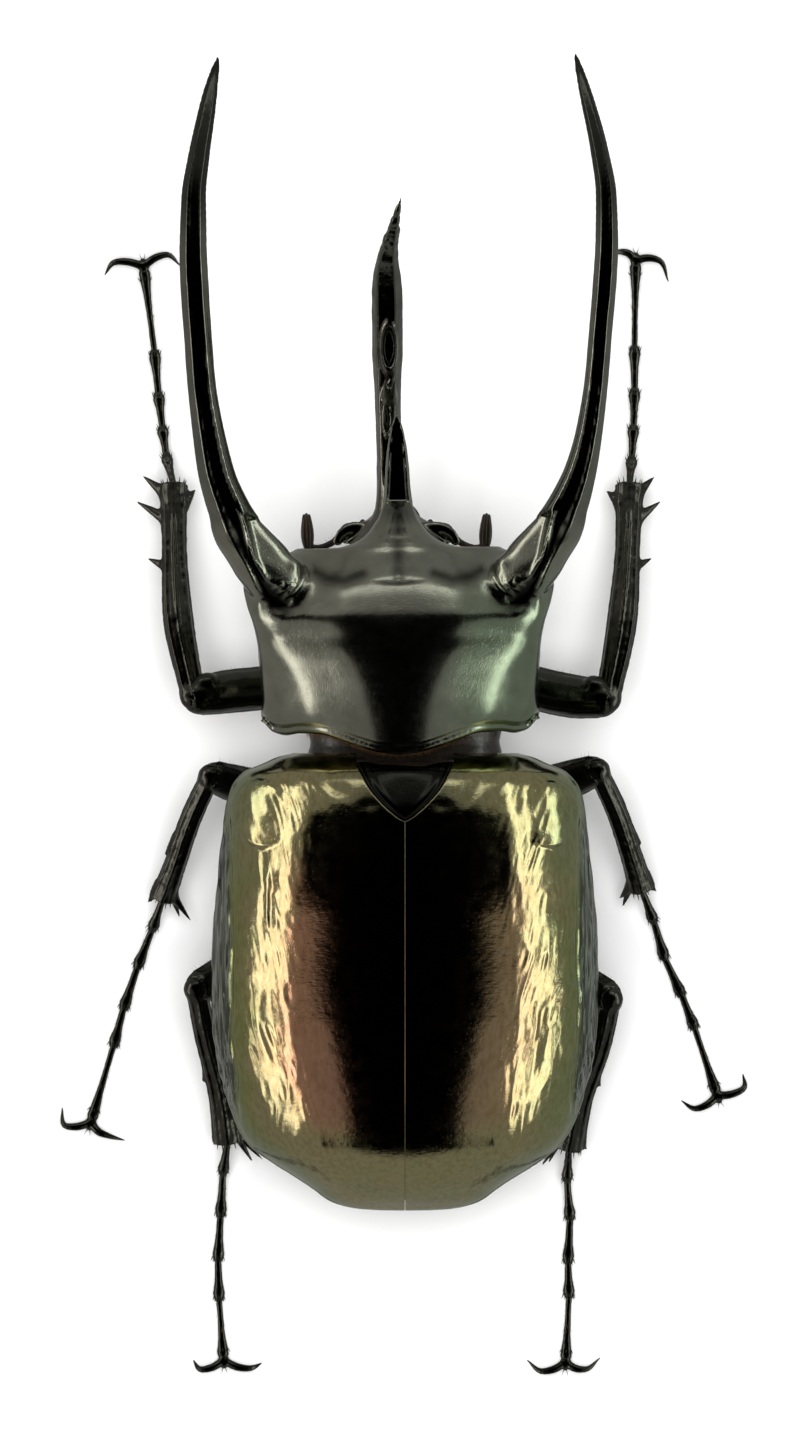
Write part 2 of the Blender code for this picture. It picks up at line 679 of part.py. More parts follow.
LEGS = {
    "fore_left": {
        "coxa": [(3.4, -6.4, 7.6), (7.0, -4.9, 6.9)],
        "femur": [(13.0, -3.1, 7.2), (17.8, -2.5, 8.6)],
        "tibia": [(20.9, -2.0, 9.9), (22.4, -9.5, 8.3), (22.85, -17.0, 5.9), (22.95, -23.2, 3.6)],
        "foot": [(23.6, -23.6), (23.7, -26.2), (24.1, -29.0), (24.5, -32.4), (24.9, -36.7), (25.9, -44.6)],
        "claws": [[(26.3, -44.6), (29.0, -45.7), (29.9, -44.5)], [(25.5, -44.6), (23.6, -46.5), (22.3, -45.4)]],
        "teeth": [[(23.2, -21.9, 4.0), (26.0, -24.2, 2.8)], [(23.0, -19.4, 4.8), (26.6, -21.6, 3.6)],
                  [(22.8, -14.6, 6.4), (25.45, -15.9, 5.4)], [(22.0, -21.4, 4.2), (20.8, -22.8, 3.2)]],
    },
    "fore_right": {
        "coxa": [(-3.0, -6.4, 7.6), (-6.6, -4.9, 6.9)],
        "femur": [(-13.0, -3.0, 7.2), (-17.6, -2.0, 8.6)],
        "tibia": [(-20.6, -1.7, 9.9), (-22.05, -9.5, 8.3), (-22.65, -17.0, 5.9), (-22.85, -23.2, 3.6)],
        "foot": [(-23.0, -23.6), (-23.1, -25.9), (-23.3, -29.1), (-23.4, -32.8), (-23.4, -37.1), (-23.5, -45.2)],
        "claws": [[(-23.1, -45.2), (-22.0, -46.8), (-21.3, -46.5)], [(-24.0, -45.2), (-25.9, -45.9), (-26.8, -43.8)]],
        "teeth": [[(-23.2, -21.9, 4.0), (-25.3, -24.1, 2.8)], [(-23.0, -19.4, 4.8), (-25.9, -21.6, 3.6)],
                  [(-22.6, -14.6, 6.4), (-25.0, -15.9, 5.4)], [(-22.0, -21.4, 4.2), (-20.6, -22.7, 3.2)]],
    },
    "mid_left": {
        "coxa": [(3.2, 9.0, 6.7), (7.4, 9.4, 5.6)],
        "femur": [(12.0, 8.0, 6.6), (16.4, 6.8, 9.0)],
        "tibia": [(19.2, 5.9, 11.0), (21.1, 10.0, 8.9), (22.6, 14.3, 6.2), (23.95, 18.0, 3.6)],
        "foot": [(24.4, 18.4), (25.1, 21.3), (26.6, 25.1), (28.0, 29.3), (29.0, 33.0), (31.1, 40.1)],
        "claws": [[(31.5, 40.2), (33.9, 41.1), (34.2, 39.3)], [(30.8, 40.4), (29.6, 42.1), (27.9, 42.6)]],
        "teeth": [[(22.4, 12.2, 7.4), (23.7, 13.7, 6.4)], [(24.2, 16.9, 4.0), (25.5, 18.6, 3.0)],
                  [(23.4, 17.2, 3.9), (21.3, 20.4, 2.6)], [(23.2, 17.2, 3.5), (22.4, 20.0, 2.0)]],
    },
    "mid_right": {
        "coxa": [(-3.8, 9.0, 6.7), (-8.0, 9.2, 5.6)],
        "femur": [(-12.4, 7.7, 6.6), (-16.8, 6.3, 9.0)],
        "tibia": [(-19.6, 5.3, 11.0), (-21.5, 9.4, 8.9), (-22.9, 13.5, 6.2), (-24.0, 17.1, 3.6)],
        "foot": [(-24.4, 17.5), (-25.3, 20.5), (-26.4, 24.2), (-28.1, 27.9), (-29.4, 31.2), (-31.5, 37.4)],
        "claws": [[(-31.9, 37.5), (-34.4, 37.3), (-34.3, 35.9)], [(-31.1, 37.7), (-29.5, 39.4), (-28.1, 38.6)]],
        "teeth": [[(-22.5, 11.4, 7.4), (-23.9, 12.6, 6.4)], [(-24.2, 15.9, 4.0), (-25.5, 17.5, 3.0)],
                  [(-23.3, 16.2, 3.9), (-21.9, 18.2, 2.8)], [(-23.1, 16.4, 3.5), (-22.2, 19.0, 2.0)]],
    },
    "hind_left": {
        "coxa": [(3.6, 20.6, 6.5), (8.0, 21.6, 5.6)],
        "femur": [(12.6, 23.7, 6.5), (17.4, 25.7, 8.8)],
        "tibia": [(20.6, 27.2, 10.8), (19.6, 32.3, 8.6), (18.2, 37.6, 6.0), (17.5, 42.4, 3.8)],
        "foot": [(17.7, 42.9), (18.0, 45.8), (18.25, 50.1), (18.5, 54.6), (18.4, 58.5), (18.0, 64.0)],
        "claws": [[(18.4, 64.1), (20.3, 65.6), (21.0, 64.7)], [(17.6, 64.1), (15.2, 65.5), (14.1, 65.0)]],
        "teeth": [[(19.0, 34.8, 7.4), (20.0, 36.5, 6.4)], [(17.9, 40.9, 4.4), (18.9, 43.0, 3.2)],
                  [(17.2, 41.0, 4.2), (14.1, 44.4, 2.9)], [(17.1, 41.2, 3.6), (15.1, 44.6, 2.2)]],
    },
    "hind_right": {
        "coxa": [(-4.2, 20.6, 6.5), (-8.6, 21.9, 5.6)],
        "femur": [(-13.0, 24.1, 6.5), (-17.8, 26.7, 8.8)],
        "tibia": [(-20.9, 28.2, 10.8), (-19.8, 33.1, 8.6), (-17.9, 38.2, 6.0), (-16.8, 43.1, 3.8)],
        "foot": [(-16.75, 43.5), (-16.6, 46.5), (-16.9, 50.4), (-16.7, 54.8), (-16.8, 58.2), (-16.5, 64.2)],
        "claws": [[(-16.0, 64.3), (-14.0, 65.8), (-12.6, 64.7)], [(-17.0, 64.3), (-18.5, 65.6), (-19.9, 64.5)]],
        "teeth": [[(-18.9, 35.4, 7.4), (-19.9, 37.0, 6.4)], [(-17.5, 41.4, 4.4), (-18.5, 43.4, 3.2)],
                  [(-16.3, 41.8, 4.2), (-14.1, 45.0, 2.9)], [(-16.2, 41.6, 3.5), (-14.8, 44.7, 2.1)]],
    },
}
FEMUR_HALF = {"fore": (2.05, 1.9), "mid": (2.1, 1.7), "hind": (2.3, 1.8)}
# How much of its half width each thigh keeps at the last three of its line's points
FEMUR_TAPER = {"fore": (1.0, 1.0, 0.9), "mid": (0.96, 0.86, 0.74), "hind": (0.96, 0.84, 0.72)}
TIBIA_HALF = {
    "fore": ([1.1, 1.15, 1.0, 0.8], [1.15, 1.4, 1.1, 1.3]),
    "mid": ([0.95, 0.95, 1.0, 1.1], [0.95, 0.95, 0.95, 1.15]),
    "hind": ([1.0, 1.0, 1.1, 1.25], [1.0, 1.0, 1.15, 1.4]),
}
KNEE_RADIUS = {"fore": 1.25, "mid": 1.15, "hind": 1.2}
FOOT_HEIGHT = 0.62
FOOT_FIRST_JOINT_HEIGHT = 1.5
FOOT_NODE_HALF = 0.62
FOOT_WAIST_HALF = 0.38
CLAW_ROOT_GAP = 0.3


def pronotum_under(x, y):
    """Height just under the pronotum's lower side."""
    wide = profile(PRONOTUM_HALF_WIDTH, y)
    edge = profile(PRONOTUM_MARGIN, y)
    drop = np.sqrt(1 - np.clip(x / wide, -1, 1) ** 2)
    return edge - (edge - profile(PRONOTUM_UNDERSIDE, y)) * drop - GAP


def belly_under(x, y):
    """Height just under the hind body's lower side."""
    return belly_height(x, y) - GAP


def coxa_and_femur(name, leg, kind, skin):
    """The short coxa under the body, then the thigh, which stops short of the knee's ball."""
    root, turn = (np.array(p) for p in leg["coxa"])
    middle = np.array(leg["femur"][0])
    knee = np.array(leg["tibia"][0])
    wide, tall = FEMUR_HALF[kind]
    end = knee - unit(knee - middle) * (KNEE_RADIUS[kind] + 0.3)
    along = unit(middle - turn)
    stop, start = turn - along * 0.17, turn + along * 0.18
    under = pronotum_under if kind == "fore" else belly_under
    coxa = tube(
        f"coxa_{name}", [root, (root + turn) / 2, stop - along * 0.5, stop],
        [1.9, 2.4, 2.1, 1.9], [1.3, 1.7, 1.5, 1.3], skin,
        at=(0, 0.25, 0.5, 0.8, 1), sides=TUBE_SIDES, ceiling=under, faces=(None, along),
    )
    shares = (1.0, *FEMUR_TAPER[kind])
    femur = tube(
        f"femur_{name}", [start, start * 0.6 + middle * 0.4, middle, np.array(leg["femur"][1]), end],
        [1.5, *(wide * share for share in shares)], [1.2, *(tall * share for share in shares)],
        skin, count=9, sides=TUBE_SIDES, faces=(along, None),
    )
    return coxa, femur


def shin_slope(leg):
    """The shin's direction where it ends at the foot."""
    before, end = (np.array(p) for p in leg["tibia"][-2:])
    return unit(end - before)


def tibia(name, leg, kind, skin):
    """The shin, from a ball in the knee out to its teeth and spurs."""
    line = leg["tibia"]
    wide, tall = TIBIA_HALF[kind]
    knee = np.array(line[0]) * MM
    radius = KNEE_RADIUS[kind] * MM
    pieces = [
        tube("shin", line, tall, wide, skin, count=9, sides=LEG_SIDES, faces=(None, shin_slope(leg))),
        ball("knee", knee, (radius, radius, radius), skin, rows=5, sides=LEG_SIDES),
    ]
    for root, tip in leg["teeth"]:
        middle = (np.array(root) + np.array(tip)) / 2
        pieces.append(tube(
            "tooth", [root, middle, tip], [0.7, 0.42, 0.12], [0.6, 0.38, 0.1], skin,
            count=4, sides=5, tip=True,
        ))
    return joined(f"tibia_{name}", pieces, skin)


def foot(name, leg, skin):
    """The five segments of the foot: from the shin down to the floor and along it, each wider at its far end."""
    slope = shin_slope(leg)
    start = np.array(leg["tibia"][-1]) + slope * 0.35
    heights = [start[2], FOOT_FIRST_JOINT_HEIGHT, *[FOOT_HEIGHT] * 4]
    joints = [np.array([x, y, z]) for (x, y), z in zip(leg["foot"], heights)]
    joints[0] = start
    line, half = [start], [FOOT_WAIST_HALF]
    for k, (back, ahead) in enumerate(zip(joints, joints[1:])):
        slimmer = 0.85 if k == len(joints) - 2 else 1.0
        line += [back + (ahead - back) * share for share in (0.2, 0.62, 0.88)]
        half += [FOOT_WAIST_HALF * slimmer, 0.42 * slimmer, FOOT_NODE_HALF]
    line.append(joints[-1])
    half.append(FOOT_NODE_HALF)
    return tube(
        f"foot_{name}", line, half, [h + 0.1 for h in half], skin,
        at=path(line)[1], sides=LEG_SIDES, floor=True, faces=(slope, None),
    )


def claws(name, leg, skin):
    """The two curved claws, joined at their root in front of the foot."""
    end, before = (np.array(leg["foot"][k]) for k in (-1, -2))
    along = unit(end - before)
    centre = end + along * (CLAW_ROOT_GAP + 0.45)
    root = [(*(centre - along * 0.45), 0.75), (*centre, 0.75), (*(centre + along * 0.6), 0.7)]
    pieces = [tube("claw_root", root, [0.5, 0.6, 0.35], [0.5, 0.6, 0.35], skin, count=4, sides=LEG_SIDES)]
    for _, bend, tip in leg["claws"]:
        line = [
            (*centre, 0.75),
            (*(centre * 0.45 + np.array(bend) * 0.55 + along * 0.25), 1.15),
            (*bend, 0.95),
            (*tip, 0.12),
        ]
        pieces.append(tube(
            "claw", line, [0.42, 0.38, 0.3, 0.1], [0.45, 0.42, 0.34, 0.1], skin,
            count=7, sides=6, tip=True, floor=True,
        ))
    return joined(f"claws_{name}", pieces, skin)


# The whole animal


def finishes():
    return {
        "case": material("wing_case_bronze", (0.30, 0.24, 0.13), 0.22, 0.85),
        "shell": material("shell_green_black", (0.035, 0.04, 0.032), 0.42, 0.0),
        "polished": material("polished_black", (0.012, 0.012, 0.012), 0.14, 0.0),
        "leg": material("leg_dark_brown", (0.022, 0.016, 0.013), 0.25, 0.0),
        "eye": material("eye_brown", (0.06, 0.04, 0.03), 0.12, 0.0),
        "feeler": material("feeler_brown", (0.10, 0.05, 0.03), 0.35, 0.0),
        "under": material("underside_brown", (0.03, 0.022, 0.018), 0.35, 0.0),
    }


def main():
    for old in list(bpy.data.objects):
        bpy.data.objects.remove(old)
    look = finishes()
    for name, side in (("left", 1), ("right", -1)):
        shell = elytron(f"elytron_{name}_shell", side, look["case"])
        joined(f"elytron_{name}", [shell], look["case"], [scutellum_cutter(look["case"])])
        antenna(name, look["feeler"])
        eye_ball(f"eye_{name}", side, 0.0, look["eye"])
        free_horn(f"horn_{name}", LONG_HORN, look["polished"], side)
    free_horn("horn_middle", MIDDLE_HORN, look["polished"])
    scutellum("scutellum", look["polished"])
    pterothorax("thorax", look["under"])
    abdomen("abdomen", look["under"])
    pronotum(look["shell"])
    head(look["shell"])
    head_horn(look["polished"])
    mouth(look["under"])
    for name, leg in LEGS.items():
        kind = name.split("_")[0]
        coxa_and_femur(name, leg, kind, look["leg"])
        tibia(name, leg, kind, look["leg"])
        foot(name, leg, look["leg"])
        claws(name, leg, look["leg"])


main()
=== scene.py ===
# The looks of a male caucasus beetle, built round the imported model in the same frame.
# +X is the animal's left, -Y is its front and +Z is up. Sizes are in metres; tables are in millimetres.
import math

import bpy
import numpy as np
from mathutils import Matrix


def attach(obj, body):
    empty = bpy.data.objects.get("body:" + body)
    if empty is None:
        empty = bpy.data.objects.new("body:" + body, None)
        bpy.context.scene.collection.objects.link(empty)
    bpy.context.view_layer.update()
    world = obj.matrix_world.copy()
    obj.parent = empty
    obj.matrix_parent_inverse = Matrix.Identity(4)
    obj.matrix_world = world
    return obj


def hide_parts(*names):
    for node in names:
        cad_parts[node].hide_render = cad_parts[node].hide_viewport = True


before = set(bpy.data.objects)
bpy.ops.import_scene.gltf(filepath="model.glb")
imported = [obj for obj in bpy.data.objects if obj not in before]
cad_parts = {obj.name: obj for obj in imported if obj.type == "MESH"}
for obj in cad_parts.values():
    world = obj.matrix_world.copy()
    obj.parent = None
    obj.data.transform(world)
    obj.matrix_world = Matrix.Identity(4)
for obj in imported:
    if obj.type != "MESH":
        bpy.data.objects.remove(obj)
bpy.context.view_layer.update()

MM = 0.001

# The middle lines of wing cases, pronotum and head across the animal, and how the pronotum is turned
ELYTRA_AXIS_X = -0.3
PRONOTUM_AXIS_X = 0.17
PRONOTUM_PIVOT_Y = 2.0
PRONOTUM_YAW = math.radians(0.65)
HEAD_AXIS_X = 0.55
UP = np.array([0, 0, 1.0])


# Smooth curves through named sizes


def hermite(knots, values, at, monotone):
    """Values at the places asked for, on a smooth curve through the knots."""
    knots = np.asarray(knots, float)
    values = np.asarray(values, float)
    if values.ndim == 1:
        return hermite(knots, values[:, None], at, monotone)[..., 0]
    steps = np.diff(knots)
    slopes = np.diff(values, axis=0) / steps[:, None]
    tangents = np.zeros_like(values)
    before, after = slopes[:-1], slopes[1:]
    weights = (steps[1:] / (steps[:-1] + steps[1:]))[:, None]
    tangents[1:-1] = weights * before + (1 - weights) * after
    tangents[0] = slopes[0]
    tangents[-1] = slopes[-1]
    if monotone:
        turning = before * after <= 0
        mean = 2 * before * after / np.where(turning, 1.0, before + after)
        tangents[1:-1] = np.where(turning, 0.0, mean)
    at = np.clip(np.asarray(at, float), knots[0], knots[-1])
    index = np.clip(np.searchsorted(knots, at, side="right") - 1, 0, len(steps) - 1)
    h = steps[index]
    t = ((at - knots[index]) / h)[..., None]
    h = h[..., None]
    return (
        (2 * t**3 - 3 * t**2 + 1) * values[index]
        + (t**3 - 2 * t**2 + t) * h * tangents[index]
        + (3 * t**2 - 2 * t**3) * values[index + 1]
        + (t**3 - t**2) * h * tangents[index + 1]
    )


TABLE_STEPS = 3000
TABLES = {}


def profile(pairs, at):
    """A size along the body, from pairs of place and size, read off a dense table of the smooth curve."""
    key = tuple(pairs)
    if key not in TABLES:
        places, sizes = zip(*pairs)
        dense = np.linspace(places[0], places[-1], TABLE_STEPS)
        TABLES[key] = dense, hermite(places, sizes, dense, True)
    return np.interp(at, *TABLES[key])


def profiles(at, *tables):
    return [profile(pairs, at) for pairs in tables]


def lengths_along(line):
    """How far each point of a line is from its first, along the line."""
    return np.concatenate([[0], np.cumsum(np.linalg.norm(np.diff(line, axis=0), axis=1))])


def even_line(line, count):
    """Points evenly spaced along a smooth line, and its direction at each."""
    line = np.asarray(line, float)
    shares = lengths_along(line)
    points = hermite(shares, line, np.linspace(0, shares[-1], count), False)
    return points, unit(np.gradient(points, axis=0))


def smoothstep(low, high, at):
    t = np.clip((at - low) / (high - low), 0, 1)
    return t * t * (3 - 2 * t)


def bell(at, middle, width):
    return np.exp(-(((at - middle) / width) ** 2))


def unit(vector):
    vector = np.asarray(vector, float)
    return vector / np.linalg.norm(vector, axis=-1, keepdims=True)


def past_plane(x, y, z, point, way):
    """How far a place lies beyond a plane through the point, square to the direction."""
    return (x - point[0]) * way[0] + (y - point[1]) * way[1] + (z - point[2]) * way[2]


def from_point(x, y, z, point):
    return np.sqrt((x - point[0]) ** 2 + (y - point[1]) ** 2 + (z - point[2]) ** 2)


NOISE_SIZE = 32
NOISE_TABLE = np.random.default_rng(7).random((NOISE_SIZE,) * 3) * 2 - 1
NOISE_START = 100.37


def noise(x, y, z, scale):
    """Smooth random values from -1 to 1 with lumps of about this size along each axis."""
    coords = [np.asarray(c, float) / s + NOISE_START for c, s in zip((x, y, z), scale)]
    coords = np.broadcast_arrays(*coords)
    base = [np.floor(c).astype(int) for c in coords]
    part = [c - b for c, b in zip(coords, base)]
    part = [t * t * (3 - 2 * t) for t in part]
    total = 0.0
    for i in (0, 1):
        for j in (0, 1):
            for k in (0, 1):
                weight = (
                    (part[0] if i else 1 - part[0])
                    * (part[1] if j else 1 - part[1])
                    * (part[2] if k else 1 - part[2])
                )
                index = tuple((b + d) % NOISE_SIZE for b, d in zip(base, (i, j, k)))
                total = total + weight * NOISE_TABLE[index]
    return total


# Meshes


def new_piece(name, points, faces, material, nodes, slot):
    """A shown piece from points in millimetres, riding on the body and standing for the nodes."""
    mesh = bpy.data.meshes.new(name)
    mesh.from_pydata(points * MM, [], faces)
    mesh.update()
    mesh.shade_smooth()
    mesh.materials.append(material)
    piece = bpy.data.objects.new(name, mesh)
    bpy.context.scene.collection.objects.link(piece)
    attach(piece, "root")
    if nodes:
        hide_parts(*nodes)
    return piece


def surface_net(values, low, step):
    """Points and four-sided faces of the surface where a grid of values passes through zero."""
    shape = np.array(values.shape)
    cell_shape = shape - 1
    totals = np.zeros((int(np.prod(cell_shape)), 3))
    counts = np.zeros(len(totals))
    crossings = []
    for axis in range(3):
        first = [slice(None)] * 3
        second = [slice(None)] * 3
        first[axis], second[axis] = slice(None, -1), slice(1, None)
        a, b = values[tuple(first)], values[tuple(second)]
        place = np.argwhere((a < 0) != (b < 0))
        a, b = a[tuple(place.T)], b[tuple(place.T)]
        point = place.astype(float)
        point[:, axis] += a / (a - b)
        around = [k for k in range(3) if k != axis]
        cells = []
        for di, dj in ((-1, -1), (0, -1), (0, 0), (-1, 0)):
            cell = place.copy()
            cell[:, around[0]] += di
            cell[:, around[1]] += dj
            cells.append(cell)
        good = np.all([np.all((c >= 0) & (c < cell_shape), axis=1) for c in cells], axis=0)
        index = [np.ravel_multi_index(tuple(c[good].T), cell_shape) for c in cells]
        for i in index:
            for k in range(3):
                totals[:, k] += np.bincount(i, weights=point[good][:, k], minlength=len(totals))
            counts += np.bincount(i, minlength=len(totals))
        flip = (a[good] < 0) == (axis != 1)
        crossings.append((index, flip))
    used = counts > 0
    number = np.cumsum(used) - 1
    points = totals[used] / counts[used][:, None] * step + low
    faces = []
    for index, flip in crossings:
        quad = number[np.column_stack(index)]
        quad[~flip] = quad[~flip][:, ::-1]
        faces.append(quad)
    return points, np.vstack(faces).tolist()


# How many steps of the grid a block is wide
BLOCK = 5


def field_grid(field, low, high, step):
    """Values of a field on a grid: coarse ones first, and only blocks near the surface are filled finely."""
    blocks = np.ceil((high - low) / (step * BLOCK)).astype(int)
    counts = blocks * BLOCK + 1
    x, y, z = (low[k] + np.arange(counts[k]) * step[k] for k in range(3))
    coarse = np.empty(blocks + 1)
    for k, place in enumerate(y[::BLOCK]):
        coarse[:, k, :] = field(x[::BLOCK, None], np.full((1, 1), place), z[None, ::BLOCK])
    nearest = np.full(blocks, np.inf)
    for i in (0, 1):
        for j in (0, 1):
            for k in (0, 1):
                corner = coarse[i : blocks[0] + i, j : blocks[1] + j, k : blocks[2] + k]
                nearest = np.minimum(nearest, np.abs(corner))
    active = nearest < np.linalg.norm(step * BLOCK) * 0.95
    values = np.repeat(np.repeat(np.repeat(coarse, BLOCK, 0), BLOCK, 1), BLOCK, 2)
    values = values[: counts[0], : counts[1], : counts[2]].astype(np.float32)
    for row in range(counts[1]):
        near = np.zeros((counts[0], counts[2]), bool)
        for block in {max((row - 1) // BLOCK, 0), min(row // BLOCK, blocks[1] - 1)}:
            here = active[:, block, :]
            for i, j in np.argwhere(here):
                near[i * BLOCK : i * BLOCK + BLOCK + 1, j * BLOCK : j * BLOCK + BLOCK + 1] = True
        if near.any():
            a, b = np.nonzero(near)
            values[a, row, b] = field(x[a], np.array([y[row]]), z[b])
    return values


SETTLE_ROUNDS = 2
SETTLE_REACH = 0.12
SLOPE_STEP = 0.02


def settle(points, field):
    """Moves points onto the field's zero surface, by at most the reach in a round."""
    e = SLOPE_STEP
    for _ in range(SETTLE_ROUNDS):
        x, y, z = points.T
        value = field(x, y, z)
        slope = np.column_stack([
            field(x + e, y, z) - field(x - e, y, z),
            field(x, y + e, z) - field(x, y - e, z),
            field(x, y, z + e) - field(x, y, z - e),
        ]) / (2 * e)
        size = np.maximum((slope**2).sum(axis=1), 0.05)
        move = -(value / size)[:, None] * slope
        length = np.maximum(np.linalg.norm(move, axis=1, keepdims=True), 1e-9)
        points = points + move * np.minimum(1, SETTLE_REACH / length)
    return points


def field_piece(name, field, low, high, step, material, nodes, slot):
    """A piece whose skin is the zero surface of a field, in millimetres."""
    low, high, step = (np.asarray(v, float) for v in (low, high, step))
    points, faces = surface_net(field_grid(field, low, high, step), low, step)
    return new_piece(name, settle(points, field), faces, material, nodes, slot)


def slim_piece(name, field, line, reach, step, material, nodes, slot):
    """A piece from a field that stays within reach of the line's points."""
    line = np.asarray(line, float)
    low, high = line.min(axis=0) - reach, line.max(axis=0) + reach
    return field_piece(name, field, low, high, (step, step, step), material, nodes, slot)


def smooth_union(a, b, width):
    """The union of two fields, with a fillet about as wide as asked."""
    h = np.clip(0.5 + 0.5 * (b - a) / width, 0, 1)
    return b + (a - b) * h - width * h * (1 - h)


def smooth_overlap(a, b, width):
    """What two fields share, with a rounded edge about as wide as asked."""
    return -smooth_union(-a, -b, width)


def chain_field(line, radii, x, y, z, count, flat=None):
    """Distance to a smooth tapered tube through the line's points, in this many straight lengths. flat is
    an axis and how far the tube is squeezed along it."""
    line = np.asarray(line, float)
    shares = lengths_along(line)
    at = np.linspace(0, shares[-1], count + 1)
    centres = hermite(shares, line, at, False)
    sizes = hermite(shares, radii, at, True)
    x, y, z = np.broadcast_arrays(x, y, z)
    best = np.full(x.shape, 1e3)
    if flat is not None:
        axis, share = unit(flat[0]), flat[1]
    for a, b, ra, rb in zip(centres, centres[1:], sizes, sizes[1:]):
        along = b - a
        t = np.clip(past_plane(x, y, z, a, along) / (along @ along), 0, 1)
        px, py, pz = (place - a[k] - t * along[k] for k, place in enumerate((x, y, z)))
        squared = px**2 + py**2 + pz**2
        if flat is not None:
            part = px * axis[0] + py * axis[1] + pz * axis[2]
            squared = squared + part**2 * (1 / share**2 - 1)
        best = np.minimum(best, np.sqrt(squared) - (ra + (rb - ra) * t))
    return best


def loft(rings):
    """Points and faces through rings of points, with flat ends."""
    sides = len(rings[0])
    points = np.vstack(rings)
    i = np.arange(sides)
    j = (i + 1) % sides
    faces = []
    for k in range(len(rings) - 1):
        a, b = k * sides, (k + 1) * sides
        faces += np.column_stack([a + i, a + j, b + j, b + i]).tolist()
    faces.append(list(range(sides))[::-1])
    faces.append([len(points) - sides + n for n in range(sides)])
    return points, faces


# About how many faces are enough to tell which way they face
FACES_ASKED = 4000


def facing_out(points, faces):
    """The faces turned so that they face outwards."""
    corners = []
    for face in faces[:: max(1, len(faces) // FACES_ASKED)]:
        corners += [points[[face[0], face[k], face[k + 1]]] for k in range(1, len(face) - 1)]
    corners = np.array(corners) - points.mean(axis=0)
    volume = np.einsum("ij,ij->i", corners[:, 0], np.cross(corners[:, 1], corners[:, 2])).sum()
    return faces if volume > 0 else [face[::-1] for face in faces]


def loft_piece(name, rings, middle_x, material, nodes, slot):
    """A closed piece through rings of points, set at a place across the animal."""
    points, faces = loft(rings)
    points[:, 0] += middle_x
    return new_piece(name, points, facing_out(points, faces), material, nodes, slot)


# The pronotum with its three horns. Places are in its own line, which is turned a little.

PRONOTUM_HALF_WIDTH = [
    (-17.3, 9.6), (-17.0, 10.4), (-16.0, 12.6), (-15.0, 14.0), (-13.5, 14.9), (-11.5, 14.9), (-9.5, 14.5),
    (-7.0, 14.1), (-4.0, 13.9), (-2.0, 13.75), (-0.5, 13.9), (0.4, 13.75), (1.2, 13.0), (2.0, 11.6),
    (3.9, 10.5),
]
PRONOTUM_TOP = [
    (-17.4, 24.5), (-17.0, 24.85), (-16.0, 25.7), (-15.0, 26.5), (-14.4, 27.0), (-14.0, 27.32),
    (-13.4, 27.69), (-12.8, 28.02), (-12.0, 28.4), (-11.2, 28.73), (-10.5, 29.0), (-10.0, 29.16),
    (-9.4, 29.28), (-8.5, 29.39), (-6.5, 29.45), (-4.0, 29.2), (-2.0, 28.7), (-0.5, 28.15), (0.6, 27.65),
    (2.0, 27.0), (3.0, 26.4), (3.9, 25.7),
]
PRONOTUM_MARGIN = [(-17.4, 18.0), (-13.0, 18.2), (-9.0, 17.2), (-4.0, 16.2), (1.0, 15.8), (3.9, 15.6)]
PRONOTUM_UNDERSIDE = [(-17.4, 12.0), (-13.0, 10.2), (-8.0, 9.2), (-3.0, 9.0), (1.0, 9.6), (3.9, 10.4)]
# How square the upper side's section is: 2 is an ellipse
PRONOTUM_SQUARENESS = [
    (-17.4, 5.0), (-14.0, 6.5), (-10.5, 16.0), (-7.0, 11.0), (-4.0, 8.0), (0.4, 7.0), (3.9, 6.0),
]
# Half the widths of the nearly level middle of the top and of the slope beside it: outside both the
# flank is steep
PRONOTUM_LEVEL = [(-17.4, 5.0), (-10.0, 6.0), (-7.5, 6.0), (-4.0, 4.7), (1.7, 3.4), (3.9, 3.2)]
PRONOTUM_SHOULDER = [
    (-17.4, 14.0), (-10.5, 13.5), (-7.0, 12.1), (-3.7, 10.2), (0.4, 8.5), (1.7, 7.0), (3.9, 5.0),
]
# The hind margin's place across half the shield
PRONOTUM_HIND_EDGE = [
    (0.0, 3.75), (2.0, 3.5), (4.0, 2.9), (6.0, 2.15), (8.0, 1.6), (10.0, 1.5), (11.5, 1.7), (12.6, 1.5),
    (13.6, 0.5),
]
PRONOTUM_FRONT_Y = -17.0
# How far the shield's front margin lies behind that line
FRONT_SETBACK = 0.2

# The long horn by places along Y: its middle across, its middle's height and its half sizes
LONG_HORN_ACROSS = [
    (-66.1, 17.75), (-63.0, 18.5), (-60.7, 19.0), (-56.2, 19.9), (-51.7, 20.5), (-47.2, 20.55),
    (-42.7, 20.35), (-38.2, 20.0), (-33.7, 19.65), (-29.2, 19.05), (-24.7, 18.15), (-21.7, 17.1),
    (-20.2, 16.4), (-18.7, 15.6), (-17.0, 14.5), (-15.0, 13.2), (-13.0, 12.2), (-10.0, 11.4), (-5.5, 11.2),
]
LONG_HORN_HEIGHT = [
    (-66.1, 23.5), (-62.7, 25.2), (-57.7, 27.2), (-51.7, 29.1), (-45.7, 30.3), (-39.7, 30.7), (-33.7, 30.4),
    (-27.8, 29.5), (-23.4, 28.4), (-20.3, 27.4), (-17.4, 26.2), (-14.0, 24.6), (-10.0, 22.4), (-5.5, 21.0),
]
